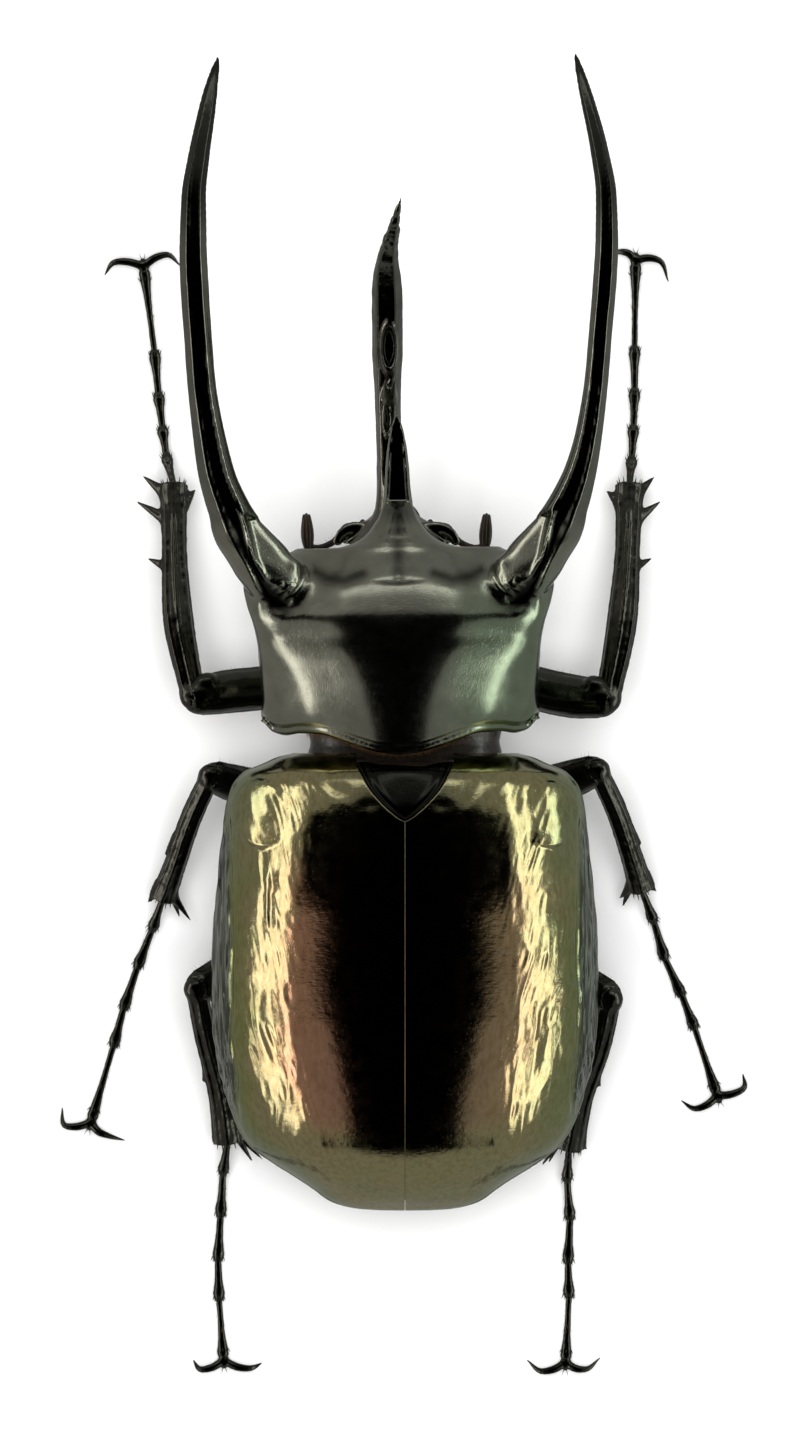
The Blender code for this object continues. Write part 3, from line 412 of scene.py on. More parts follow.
LONG_HORN_HALF_WIDTH = [
    (-66.1, 0.05), (-65.2, 0.30), (-63.5, 0.54), (-60.7, 0.76), (-56.2, 0.94), (-51.7, 1.08), (-47.2, 1.18),
    (-42.7, 1.23), (-38.2, 1.21), (-33.7, 1.23), (-29.2, 1.36), (-24.7, 1.64), (-21.7, 2.0), (-20.2, 2.25),
    (-18.7, 2.75), (-17.0, 3.2), (-14.5, 3.3), (-12.0, 2.6), (-9.0, 1.5), (-5.5, 0.4),
]
LONG_HORN_HALF_HEIGHT = [
    (-66.1, 0.05), (-65.2, 0.3), (-62.7, 0.62), (-57.7, 1.05), (-51.7, 1.38), (-45.7, 1.58), (-39.7, 1.66),
    (-33.7, 1.76), (-27.8, 2.05), (-23.4, 2.5), (-20.3, 2.9), (-17.4, 3.3), (-14.0, 3.4), (-10.0, 2.8),
    (-5.5, 0.6),
]
# How far both long horns lean to the right of the shield's line, and how much broader the left one is
LONG_HORN_LEAN = [
    (-66.1, -0.38), (-62.7, -0.43), (-57.7, -0.54), (-51.7, -0.57), (-45.7, -0.50), (-39.7, -0.38),
    (-33.7, -0.28), (-27.8, -0.22), (-23.4, -0.10), (-20.3, -0.05), (-18.0, 0.0), (-5.5, 0.0),
]
LONG_HORN_FULLER = 0.09
LONG_HORN_ENDS = (-66.15, -5.5)
# The middle horn in the same way
MIDDLE_HORN_HALF_WIDTH = [
    (-30.3, 0.06), (-29.6, 0.36), (-28.0, 0.76), (-25.5, 1.1), (-23.0, 1.26), (-21.6, 1.42), (-20.8, 1.6),
    (-19.9, 1.95), (-19.3, 2.35), (-18.4, 3.0), (-17.0, 4.4), (-15.0, 6.0), (-12.0, 6.0),
]
MIDDLE_HORN_HEIGHT = [
    (-30.3, 20.7), (-27.0, 20.4), (-21.6, 20.1), (-20.5, 20.6), (-19.0, 21.25), (-18.0, 21.85),
    (-17.0, 22.05), (-16.0, 21.4), (-15.0, 20.7), (-12.0, 20.0),
]
MIDDLE_HORN_HALF_HEIGHT = [
    (-30.3, 0.06), (-29.6, 0.3), (-28.0, 0.8), (-25.5, 1.1), (-21.6, 1.3), (-20.5, 1.7), (-19.0, 2.2),
    (-17.0, 2.5), (-15.5, 2.7), (-12.0, 2.8),
]
MIDDLE_HORN_ENDS = (-30.4, -12.0)
# Each flat of a horn's section: the way it faces and how far out it lies
LONG_HORN_FACES = ((95, 0.74), (34, 0.88), (146, 0.86), (-30, 0.93), (-150, 0.93), (-90, 0.92))
MIDDLE_HORN_FACES = ((90, 0.74), (16, 0.97), (164, 0.97), (-35, 0.98), (-145, 0.98), (-90, 1.0))
# Raised and sunken lines at the root of each long horn, by places across and along
OUTER_KEEL = [
    (17.9, -20.5), (16.2, -17.4), (15.3, -15.6), (14.6, -13.9), (14.1, -11.9), (13.8, -9.6), (12.6, -7.4),
]
VALLEY = [
    (16.7, -18.9), (15.3, -16.8), (14.5, -15.2), (13.6, -13.5), (12.4, -12.1), (11.0, -11.0), (9.4, -10.4),
]
VALLEY_HALF_WIDTH = [(0.0, 1.0), (0.17, 0.6), (0.33, 0.4), (0.5, 0.5), (0.67, 0.95), (0.83, 1.0), (1.0, 0.5)]
INNER_KEEL = [(16.2, -22.2), (15.3, -20.3), (14.7, -18.1), (14.2, -15.8), (13.3, -14.1), (12.8, -13.7)]
FOLDS = (
    [(8.7, -13.9), (9.7, -12.4), (11.0, -11.2)],
    [(9.7, -14.1), (10.5, -12.8), (11.7, -11.8)],
    [(10.4, -13.6), (11.2, -12.8), (12.2, -12.4)],
    [(11.4, -13.5), (12.0, -13.1), (12.7, -12.9)],
)
LEDGE = [(3.6, -14.3), (5.4, -13.7), (7.0, -13.9), (8.2, -14.5)]


def faceted(u, v, faces, soft):
    """A many-sided section with rounded edges."""
    turns = [(math.radians(turn), size) for turn, size in faces]
    away = [u * math.cos(turn) + v * math.sin(turn) - size for turn, size in turns]
    most = np.maximum.reduce(away)
    return most + soft * np.log(sum(np.exp((a - most) / soft) for a in away))


def off_line(line, x, y):
    """Distance in plan from a broken line, and the share of its length at the nearest place."""
    best, share = np.full(np.broadcast(x, y).shape, 1e3), 0.0
    for k, (a, b) in enumerate(zip(line, line[1:])):
        dx, dy = b[0] - a[0], b[1] - a[1]
        t = np.clip(((x - a[0]) * dx + (y - a[1]) * dy) / (dx**2 + dy**2), 0, 1)
        away = np.hypot(x - a[0] - t * dx, y - a[1] - t * dy)
        share = np.where(away < best, (k + t) / (len(line) - 1), share)
        best = np.minimum(best, away)
    return best, share


def top_fall(beside, y):
    """How far the shield's top has fallen at a distance from its middle line."""
    level, shoulder = profiles(y, PRONOTUM_LEVEL, PRONOTUM_SHOULDER)
    steepness = 0.20 + 0.12 * smoothstep(-10.5, -7.5, y)
    beyond = 0.40 + 0.10 * smoothstep(-10.5, -7.5, y) - 0.05 * smoothstep(-4.0, 0.0, y)
    inner = np.minimum(beside, level)
    fall = steepness * (inner**2 / (2 * level) + np.maximum(beside - level, 0))
    fall = fall + (beyond - steepness) * 0.45 * np.logaddexp(0, (beside - level) / 0.45)
    return fall + 0.5 * 0.5 * np.logaddexp(0, (beside - shoulder) / 0.5)


def body_field(x, y, z):
    """The shield itself: a broad top that falls to its flanks, and an ellipse below its margin."""
    wide, edge, height = profiles(y, PRONOTUM_HALF_WIDTH, PRONOTUM_MARGIN, PRONOTUM_TOP)
    beside = np.minimum(np.abs(x), wide)
    side = np.abs(x) / wide
    above = z > edge
    crown = top_fall(wide, y)
    top = (z - edge - crown + top_fall(beside, y)) / (height - edge - crown)
    low = (edge - z) / (edge - profile(PRONOTUM_UNDERSIDE, y))
    bulge = 0.07 * bell(y, -6.4, 2.2) * bell(z, 13.4, 1.6)
    rise = np.where(above, np.maximum(top, 0), low)
    power = np.where(above, profile(PRONOTUM_SQUARENESS, y), 2.0)
    reach = (side**power + rise**power) ** (1 / power) - bulge
    around = (reach - 1) * np.minimum(wide, height - edge) * 0.8
    behind = y - profile(PRONOTUM_HIND_EDGE, np.abs(x))
    return smooth_overlap(around, np.maximum(behind, PRONOTUM_FRONT_Y - y), 0.7)


def between_ends(y, ends):
    """Below 0 between two places along Y, and rising outside them."""
    return np.maximum(ends[0] - y, y - ends[1])


def long_horn_field(x, y, z):
    """Both long horns at once, each with a narrow flat top between two keels."""
    across, up, wide, tall, lean = profiles(
        y, LONG_HORN_ACROSS, LONG_HORN_HEIGHT, LONG_HORN_HALF_WIDTH, LONG_HORN_HALF_HEIGHT, LONG_HORN_LEAN,
    )
    wide = wide * (1.03 + LONG_HORN_FULLER * np.sign(x) * smoothstep(-19.0, -28.0, y))
    u = (np.abs(x - lean) - across) / wide
    v = (z - up) / tall
    faces = faceted(u, v, LONG_HORN_FACES, 0.035)
    plain = np.sqrt(u**2 + v**2) - 1
    free = smoothstep(-15.0, -19.5, y)
    turn = np.arctan2(v, u)
    striae = 0.022 * np.sin(turn * 15) * smoothstep(1.75, 2.0, turn) * smoothstep(2.9, 2.6, turn)
    striae = striae * smoothstep(-44.0, -32.0, y) * smoothstep(-18.0, -21.0, y)
    hollow = 0.06 * bell(u, 0.12, 0.26) * smoothstep(0.3, 0.7, v) * smoothstep(-62.0, -50.0, y)
    nicks = 0.02 * noise(x, y, z, (0.5, 1.6, 0.5)) * bell(turn, 0.9, 0.25)
    value = plain + (faces - plain + hollow + striae - nicks) * free
    return np.maximum(value * np.minimum(wide, tall), between_ends(y, LONG_HORN_ENDS))


def middle_horn_field(x, y, z):
    """The middle horn: a flat hollow top between thin raised rims, with a step at its root."""
    wide, up, tall = profiles(y, MIDDLE_HORN_HALF_WIDTH, MIDDLE_HORN_HEIGHT, MIDDLE_HORN_HALF_HEIGHT)
    u = np.abs(x) / wide
    v = (z - up) / tall
    free = smoothstep(-20.8, -21.6, y)
    faces = faceted(u, v, MIDDLE_HORN_FACES, 0.04)
    round_root = (u**2.2 + np.abs(v) ** 2.2) ** (1 / 2.2) - 1
    value = round_root + (faces - round_root) * free
    upper = smoothstep(0.2, 0.7, v)
    hollow = 0.15 * smoothstep(0.70, 0.60, u) * upper
    hollow = hollow * smoothstep(-21.35, -21.7, y) * smoothstep(-30.0, -28.8, y)
    rims = 0.07 * bell(u, 0.80, 0.07) * upper * smoothstep(-21.0, -21.6, y)
    return np.maximum((value + hollow - rims) * np.minimum(wide, tall), between_ends(y, MIDDLE_HORN_ENDS))


def faded(share, start, stop):
    """1 along the middle of a line, fading to 0 at both of its ends."""
    return smoothstep(0.0, start, share) * smoothstep(1.0, stop, share)


def fold_at(line, side, y, width):
    """1 on a fold's line, less beside it and towards its ends."""
    away, share = off_line(line, side, y)
    return bell(away, 0, width) * (1 - np.abs(2 * share - 1) ** 3)


def horn_root_detail(side, y):
    """Keels, valley, knob and folds where a long horn leaves the shield."""
    outer, outer_share = off_line(OUTER_KEEL, side, y)
    inner, inner_share = off_line(INNER_KEEL, side, y)
    valley, valley_share = off_line(VALLEY, side, y)
    keel = 0.22 * bell(outer, 0, 0.45) * faded(outer_share, 0.25, 0.6)
    ridge = 0.30 * bell(inner, 0, 0.26) * faded(inner_share, 0.25, 0.8)
    sunk = -0.55 * bell(valley, 0, profile(VALLEY_HALF_WIDTH, valley_share)) * faded(valley_share, 0.2, 0.7)
    knob = 0.30 * bell(side, 9.9, 0.8) * bell(y, -15.6, 1.0)
    folds = sum(0.16 * fold_at(line, side, y, 0.20) for line in FOLDS)
    return keel + ridge + sunk + knob + folds


def painted_shell_shade(side, y):
    """1 where painted shade darkens the shield to near black, standing in for its shade and dark
    reflections: the valleys at the horns' roots, the ledge before the ridge and the crease of the front."""
    valley, share = off_line(VALLEY, side, y)
    painted_shade = smoothstep(1.3, 0.6, valley / profile(VALLEY_HALF_WIDTH, share)) * faded(share, 0.12, 0.75)
    for line in FOLDS:
        painted_shade = painted_shade * (1 - 0.7 * fold_at(line, side, y, 0.16))
    away, _ = off_line(LEDGE, side, y)
    crease = 0.65 * bell(side, 0, 0.6) * smoothstep(-13.3, -14.6, y) * smoothstep(-21.6, -20.8, y)
    return np.maximum(np.maximum(painted_shade, 0.75 * bell(away, 0, 0.55)), crease)


def prothorax_detail(x, y, z):
    """Small raised and sunken forms of the shield's upper side: positive is raised."""
    side = np.abs(x)
    upper = smoothstep(16.5, 19.0, z)
    hind = profile(PRONOTUM_HIND_EDGE, side)
    rim = 0.22 * bell(y, hind - 0.22, 0.2) - 0.26 * bell(y, hind - 0.72, 0.22)
    carina = -0.07 * bell(x, -0.45, 0.10) * smoothstep(-6.6, -5.8, y) * smoothstep(-2.4, -3.2, y)
    front = -16.75 - 0.2 * smoothstep(7.0, 12.0, side)
    front_rim = 0.16 * bell(y, front, 0.18) * smoothstep(5.5, 6.8, side) * smoothstep(11.5, 10.0, side)
    from_ledge, _ = off_line(LEDGE, side, y)
    ledge = -0.22 * bell(from_ledge, 0, 0.6)
    crease = -0.20 * bell(side, 0, 0.8) * smoothstep(-13.6, -15.0, y) * smoothstep(-21.4, -20.5, y)
    waves = 0.03 * noise(x, y, z, (2.8, 2.4, 2.6))
    pits = 0.022 * np.minimum(0, noise(x, y, z, (0.34, 0.34, 0.34)) + 0.35)
    body = (rim + carina + ledge + crease + front_rim + horn_root_detail(side, y)) * upper
    return body * smoothstep(-22.0, -20.0, y) + (waves + pits) * smoothstep(-16.0, -13.0, y)


def inner_flat(x, y, z):
    """The flat that slopes inwards and forwards from the inner keel of each long horn's root."""
    side = np.abs(x)
    keel = profile([(py, px) for px, py in INNER_KEEL], y)
    plane = past_plane(side, y, z, (14.2, -15.8, 28.3), (-0.40, -0.20, 0.895))
    lift = smoothstep(-0.1, 0.5, side - keel) + smoothstep(-13.6, -12.4, y) + smoothstep(-19.5, -21.5, y)
    return plane - 4.0 * lift - 4.0 * smoothstep(9.6, 8.4, side)


def in_prothorax(x, y):
    """A place in the animal's frame, in the shield's own turned line."""
    cos, sin = math.cos(PRONOTUM_YAW), math.sin(PRONOTUM_YAW)
    dx, dy = x - PRONOTUM_AXIS_X, y - PRONOTUM_PIVOT_Y
    return cos * dx + sin * dy, PRONOTUM_PIVOT_Y - sin * dx + cos * dy


def prothorax_field(x, y, z):
    """Shield and horns as one skin, in the animal's own frame."""
    x, y = in_prothorax(x, y)
    shield = body_field(x, y - FRONT_SETBACK * smoothstep(-12.0, -17.0, y), z)
    middle = middle_horn_field(x, y, z)
    horns = long_horn_field(x, y, z)
    skin = smooth_union(smooth_union(shield, middle, 1.7), horns, 2.0)
    skin = smooth_overlap(skin, inner_flat(x, y, z), 0.9)
    detail = prothorax_detail(x, y, z)
    return skin - detail * smoothstep(2.4, 1.2, np.abs(skin))


PROTHORAX_BOX = ((-23.0, -67.4, 8.0), (23.0, 4.8, 34.4))
PROTHORAX_GRID = (0.19, 0.28, 0.19)


def prothorax(look):
    return field_piece(
        "prothorax", prothorax_field, *PROTHORAX_BOX, PROTHORAX_GRID,
        look["shield"], ("pronotum", "horn_left", "horn_right", "horn_middle"), "shell",
    )


# The head and its horn, by places along Y in the animal's frame

HEAD_HALF_WIDTH = [(-20.9, 1.6), (-20.2, 2.1), (-19.7, 2.9), (-19.2, 4.1), (-18.4, 4.9), (-17.3, 5.5)]
HEAD_TOP = [(-20.9, 12.2), (-20.2, 12.7), (-19.7, 13.3), (-19.2, 13.9), (-18.4, 14.8), (-17.3, 15.8)]
HEAD_UNDERSIDE = [(-20.9, 11.0), (-20.2, 10.7), (-19.2, 10.1), (-18.4, 9.9), (-17.3, 10.0)]
# The lobe that shades each eye: left side
EYE_LOBE = [(3.0, -18.7, 13.9), (4.6, -18.7, 14.0), (5.4, -18.3, 14.1), (5.9, -17.6, 14.2)]
HEAD_HORN_ACROSS = [
    (-51.6, 0.08), (-50.4, 0.42), (-48.6, 0.83), (-47.2, 1.18), (-44.4, 1.5), (-40.0, 1.46), (-34.0, 1.45),
    (-29.0, 1.35), (-24.0, 1.2), (-20.0, 0.9), (-17.3, 0.6),
]
HEAD_HORN_HEIGHT = [
    (-51.6, 33.4), (-50.0, 31.8), (-48.5, 30.1), (-46.0, 27.4), (-42.5, 24.2), (-38.5, 21.3), (-34.0, 18.6),
    (-29.0, 16.4), (-24.0, 15.0), (-20.2, 13.9), (-17.3, 13.4),
]
HEAD_HORN_HALF_WIDTH = [
    (-51.6, 0.05), (-50.6, 0.26), (-49.4, 0.46), (-48.5, 0.6), (-47.2, 0.8), (-45.5, 1.05), (-43.7, 1.34),
    (-41.7, 1.46), (-36.5, 1.46), (-34.5, 1.34), (-31.7, 1.24), (-27.0, 1.18), (-24.0, 1.25), (-21.0, 1.7),
    (-19.0, 2.7), (-17.3, 3.3),
]
HEAD_HORN_HALF_HEIGHT = [
    (-51.6, 0.05), (-50.6, 0.4), (-48.5, 0.9), (-46.0, 1.4), (-42.5, 1.7), (-38.5, 1.9), (-34.0, 1.95),
    (-29.0, 1.9), (-24.0, 1.95), (-20.0, 2.3), (-17.3, 2.5),
]
HEAD_HORN_FACES = ((84, 0.66), (24, 0.93), (150, 0.86), (-40, 0.97), (-140, 0.97), (-90, 1.0))
# Hollows in the upper side of the head's horn: middle across and along, half sizes and depth
HORN_HOLLOWS = ((1.3, -36.9, 0.66, 2.1, 0.5), (1.05, -32.6, 0.3, 0.9, 0.4), (1.5, -29.8, 0.28, 1.5, 0.3))
HORN_TEETH = [
    [(1.35, -31.0, 17.4), (0.95, -32.6, 19.6), (0.75, -33.7, 20.9)],
    [(1.35, -31.0, 17.4), (1.55, -32.6, 19.6), (1.7, -33.6, 20.7)],
]
FRONT_LIP = [(0.7, -19.8, 11.3), (0.9, -21.0, 11.5)]
CAPSULE_ENDS = (-20.9, -17.35)
HEAD_HORN_ENDS = (-51.65, -17.35)
EYE_PLACE = (4.7, -18.4, 12.1)
EYE_RADIUS = 1.05
EYE_ROOM = 0.12
HEAD_BOX = ((-7.0, -52.6, 8.4), (8.4, -16.8, 34.6))
HEAD_GRID = (0.14, 0.18, 0.15)


def on_head(side, points):
    """Points beside the head's middle line, in the animal's frame."""
    return [(HEAD_AXIS_X + side * x, y, z) for x, y, z in points]


def head_horn_field(x, y, z):
    """The head's horn: flat-sided, with hollows along its upper side and a frayed tip."""
    middle, up, wide, tall = profiles(
        y, HEAD_HORN_ACROSS, HEAD_HORN_HEIGHT, HEAD_HORN_HALF_WIDTH, HEAD_HORN_HALF_HEIGHT,
    )
    u = (x - middle) / wide
    v = (z - up) / tall
    plain = np.sqrt(u**2 + v**2) - 1
    flats = (faceted(u, v, HEAD_HORN_FACES, 0.05) - plain) * smoothstep(-21.0, -25.0, y)
    upper = smoothstep(0.0, 0.5, v)
    hollow, raised = 0.0, 0.0
    for place_x, place_y, half_across, half_along, depth in HORN_HOLLOWS:
        away = np.sqrt(((x - place_x) / half_across) ** 2 + ((y - place_y) / half_along) ** 2)
        hollow = hollow + depth * smoothstep(1.0, 0.7, away) * upper
        raised = raised - 0.17 * bell(away, 1.12, 0.16) * upper
    frayed = 0.10 * noise(x, y, z, (0.6, 1.1, 0.6)) * smoothstep(-45.0, -48.0, y)
    raised = raised - frayed * smoothstep(-51.4, -50.5, y)
    horn = (plain + flats) * np.minimum(wide, tall) + hollow + raised
    return np.maximum(horn, between_ends(y, HEAD_HORN_ENDS))


def head_field(x, y, z):
    """Head capsule, side lobes, front lip and horn as one skin."""
    across = x - HEAD_AXIS_X
    wide, top, low = profiles(y, HEAD_HALF_WIDTH, HEAD_TOP, HEAD_UNDERSIDE)
    middle, tall = (top + low) / 2, (top - low) / 2
    reach = (np.abs(across / wide) ** 2.5 + np.abs((z - middle) / tall) ** 2.2) ** 0.42
    capsule = np.maximum((reach - 1) * np.minimum(wide, tall), between_ends(y, CAPSULE_ENDS))
    skin = smooth_union(capsule, head_horn_field(x, y, z), 1.6)
    for side in (1, -1):
        lobe = chain_field(on_head(side, EYE_LOBE), [0.85, 0.75, 0.6, 0.45], x, y, z, 8, (UP, 0.45))
        lip = chain_field(on_head(side, FRONT_LIP), [1.1, 0.6], x, y, z, 2, (UP, 0.5))
        skin = smooth_union(smooth_union(skin, lobe, 0.4), lip, 0.6)
        socket = from_point(across, y, z, (side * EYE_PLACE[0], *EYE_PLACE[1:]))
        skin = np.maximum(skin, EYE_RADIUS + EYE_ROOM - socket)
    for tooth in HORN_TEETH:
        skin = smooth_union(skin, chain_field(tooth, [0.55, 0.36, 0.1], x, y, z, 4), 0.35)
    waves = 0.03 * noise(x, y, z, (0.9, 1.6, 0.9)) * smoothstep(-17.0, -20.0, y)
    pits = 0.03 * np.minimum(0, noise(x, y, z, (0.26, 0.26, 0.26)) + 0.3)
    return skin - waves - pits


def head(look):
    field_piece(
        "head_shell", head_field, *HEAD_BOX, HEAD_GRID,
        look["polished_horn"], ("head", "head_horn"), "polished_horn",
    )


# The hind body

ELYTRA_HALF_WIDTH = [
    (3.6, 11.2), (4.0, 12.6), (4.7, 14.2), (5.6, 16.2), (7.0, 17.4), (9.0, 17.9), (12.5, 18.4), (17.0, 18.9),
    (22.0, 19.25), (27.0, 19.4), (31.0, 19.3), (35.0, 18.7), (38.5, 17.7), (41.0, 16.7), (42.8, 15.5),
    (44.4, 13.4), (45.8, 11.2), (47.3, 9.0), (48.2, 7.8), (48.9, 6.2), (49.25, 4.6), (49.4, 2.2),
]
ELYTRA_RISE = [
    (3.6, 6.6), (4.0, 8.2), (4.6, 9.8), (5.6, 11.3), (7.5, 12.5), (10.0, 13.4), (14.0, 14.2), (20.0, 14.7),
    (27.0, 14.7), (30.0, 14.7), (33.0, 14.5), (36.0, 14.05), (38.0, 13.55), (40.0, 12.85), (42.0, 11.85),
    (43.5, 10.85), (45.0, 9.5), (46.5, 7.65), (47.5, 6.0), (48.4, 4.1), (49.0, 2.3), (49.25, 1.5),
    (49.4, 0.9),
]
MARGIN_HEIGHT = [(3.6, 15.8), (8.0, 15.3), (20.0, 14.4), (30.0, 13.9), (40.0, 13.3), (49.3, 12.6)]
BELLY_DEPTH = [
    (1.0, 5.6), (4.0, 6.6), (8.0, 7.4), (16.0, 7.6), (25.0, 7.2), (32.0, 6.2), (38.0, 5.0), (43.0, 3.7),
    (47.0, 2.2), (49.3, 1.2),
]
CASE_THICKNESS = 1.0
CORE_INSET = 1.4
SEAM_GAP = 0.04
BELLY_GROOVES = (26.3, 29.5, 33.0, 36.5, 40.0, 43.5)


def arch(y, angle, inset):
    """Across and height of the wing cases' arch: angle 0 is the left margin and half a turn the right."""
    wide, rise, edge = profiles(y, ELYTRA_HALF_WIDTH, ELYTRA_RISE, MARGIN_HEIGHT)
    return (wide - inset) * np.cos(angle), edge + (rise - inset) * np.sin(angle)


def arch_top(y, share):
    """Height of the arch at a share of its half width."""
    return profile(MARGIN_HEIGHT, y) + profile(ELYTRA_RISE, y) * np.sqrt(1 - share**2)


# How far apart the two wing cases' places are in the noise
NOISE_APART = 7.0
GROOVE_FROM_MARGIN = [
    (9.0, 0.35), (12.0, 0.8), (17.0, 1.5), (24.3, 2.1), (35.3, 1.7), (38.5, 0.9), (41.0, 0.3),
]


def groove_line(y, side):
    """Distance of a wing case's marginal groove from its margin."""
    wave = noise(y * 0, y, y * 0 + side * NOISE_APART, (1.0, 1.6, 1.0))
    return profile(GROOVE_FROM_MARGIN, y) + 0.10 * wave


def margin_live(y):
    return smoothstep(9.0, 11.5, y) * smoothstep(41.0, 37.5, y)


def outside_groove(x, y, side):
    """1 on the strip outside the marginal groove, 0 inside it."""
    from_groove = profile(ELYTRA_HALF_WIDTH, y) - x - groove_line(y, side)
    return smoothstep(0.05, -0.25, from_groove) * margin_live(y)


def case_wrinkles(x, y, z, share):
    """Long waves, folds and creases on the outer half of a wing case."""
    zone = smoothstep(0.44, 0.60, share + 0.05 * noise(x, y, z, (2.0, 4.0, 1.0)))
    zone = zone * smoothstep(4.5, 8.0, y) * smoothstep(48.5, 44.0, y)
    bend = 1.2 * noise(x, y, z, (3.4, 6.5, 1.0))
    folds = 1 - 2 * np.abs(noise(x + bend, y, z, (1.15, 5.2, 1.0)))
    creases = 1 - 2 * np.abs(noise(x + 0.6 * bend + 0.22 * y, y, z + 3.1, (0.55, 1.9, 1.0)))
    long_waves = noise(x, y, z + 9.2, (2.8, 9.0, 1.0))
    strength = 0.55 + 0.75 * bell(share, 0.68, 0.13)
    wrinkles = (0.038 * folds + 0.026 * creases + 0.120 * long_waves) * strength
    return wrinkles * zone


def elytron_detail(x, y, side):
    """Raised and sunken forms of a wing case, from its place beside the seam: positive is raised."""
    wide = profile(ELYTRA_HALF_WIDTH, y)
    share = x / wide
    z = side * NOISE_APART
    corner = noise(x, y, z + 2.2, (1.1, 1.4, 1.0))
    away = np.sqrt(((x - 14.1) / 2.6) ** 2 + ((y - 9.7) / 3.2) ** 2) + 0.08 * corner
    shoulder = 0.75 * smoothstep(1.10, 0.92, away) * smoothstep(12.0, 16.0, x)
    long_dent = -0.26 * bell(x - 0.10 * (33.0 - y), 13.0, 1.0) * bell(y, 32.0, 6.0)
    dent = -0.14 * bell(x, 12.2, 1.5) * bell(y, 8.6, 2.2)
    front_dents = -0.10 * bell(x, 7.4, 1.8) * bell(y, 7.0, 1.1)
    front_dents = front_dents - 0.06 * bell(x, 3.6, 0.9) * bell(y, 8.8, 0.6)
    hind_knob = 0.30 * bell(x, 10.8, 2.6) * bell(y, 42.3, 2.2)
    stria = -0.02 * bell(x, 0.5, 0.12) * smoothstep(10.5, 13.0, y) * smoothstep(47.5, 44.0, y)
    hem = 0.10 * bell(share, 0.995, 0.006)
    from_groove = wide - x - groove_line(y, side)
    groove = -0.20 * bell(from_groove, 0, 0.20) * margin_live(y)
    strip = (-0.08 + 0.10 * noise(x * 1.6, y, z + 5.5, (0.42, 1.9, 1.0))) * outside_groove(x, y, side)
    fine = 0.005 * noise(x, y, z, (0.30, 0.30, 1.0))
    base_place = bell(y, 7.0, 1.9) * smoothstep(5.0, 7.0, x) * smoothstep(15.5, 13.5, x)
    base_folds = 0.09 * noise(x + 0.8 * y, y, z + 1.7, (1.2, 1.3, 1.0)) * base_place
    forms = shoulder + long_dent + dent + front_dents + hind_knob + stria + hem + groove + strip
    return forms + case_wrinkles(x, y, z, share) + fine + base_folds


# The scutellum, and the gap that the wing cases leave round it
SHIELD_HALF_WIDTH = 4.8
SHIELD_FRONT_Y = 4.4
SHIELD_TIP_Y = 10.3
SHIELD_GAP = 0.06


def shield_edge(along):
    """Half the scutellum's width at a share of its length."""
    shares = [0.0, 0.08, 0.2, 0.45, 0.75, 0.92, 1.0]
    return SHIELD_HALF_WIDTH * hermite(shares, [1.0, 0.97, 0.9, 0.74, 0.42, 0.18, 0.02], along, True)


def case_outside(y, across, side):
    """The outer surface of a wing case and the inner margin that it leaves free for the scutellum."""
    t = np.concatenate([[0, 0.0006], np.linspace(0, 1, across)[1:]])
    wide = profile(ELYTRA_HALF_WIDTH, y)
    x, _ = arch(y, np.arccos(SEAM_GAP / 2 / wide) * (1 - t[None, :] ** 0.92), 0.0)
    along = (y - SHIELD_FRONT_Y) / (SHIELD_TIP_Y - SHIELD_FRONT_Y)
    edge = np.where(along < 1, shield_edge(np.clip(along, 0, 1)) + SHIELD_GAP, 0)
    edge = np.where(along < 0, SHIELD_HALF_WIDTH + SHIELD_GAP, edge)
    inside = np.maximum(edge - x, 0)
    x = np.maximum(x, edge)
    z = arch_top(y, np.clip(x / wide, 0, 1)) - np.minimum(inside * 0.4, 0.75)
    outer = np.stack([x, np.broadcast_to(y, x.shape), z], axis=-1)
    normal = unit(np.cross(np.gradient(outer, axis=1) + 1e-9, np.gradient(outer, axis=0)))
    normal = normal * np.where(normal[..., 2:] < 0, -1, 1)
    height = elytron_detail(x, y, side) * smoothstep(0.4, 0.0, inside)
    end_fade = smoothstep(49.3, 48.4, y) * smoothstep(3.6, 4.2, y)
    return outer + normal * (height * end_fade)[..., None], edge


def elytron(name, side, look):
    """One wing case as a thin closed shell with its wrinkles."""
    step, across = ((0.125, 190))
    y = np.concatenate([
        np.linspace(3.6, 5.6, int(2.0 / step * 1.6)), np.arange(5.6, 49.2, step)[1:], [49.25, 49.33, 49.38],
    ])[:, None]
    outer, edge = case_outside(y, across, side)
    thick = CASE_THICKNESS * np.interp(y, [3.6, 4.4, 48.6, 49.4], [0.5, 1.0, 1.0, 0.35])
    seam = np.arccos(SEAM_GAP / 2 / (profile(ELYTRA_HALF_WIDTH, y) - thick))
    x, z = arch(y, seam * np.linspace(0, 1, 24)[None, :], thick)
    x = np.maximum(x, edge)
    inner = np.stack([x, np.broadcast_to(y, x.shape), z], axis=-1)
    rings = np.concatenate([outer, inner], axis=1)
    rings[..., 0] *= side
    piece_name = "wing_case_left" if side > 0 else "wing_case_right"
    return loft_piece(piece_name, list(rings), ELYTRA_AXIS_X, look["wing_case"], (name,), "wing_case")


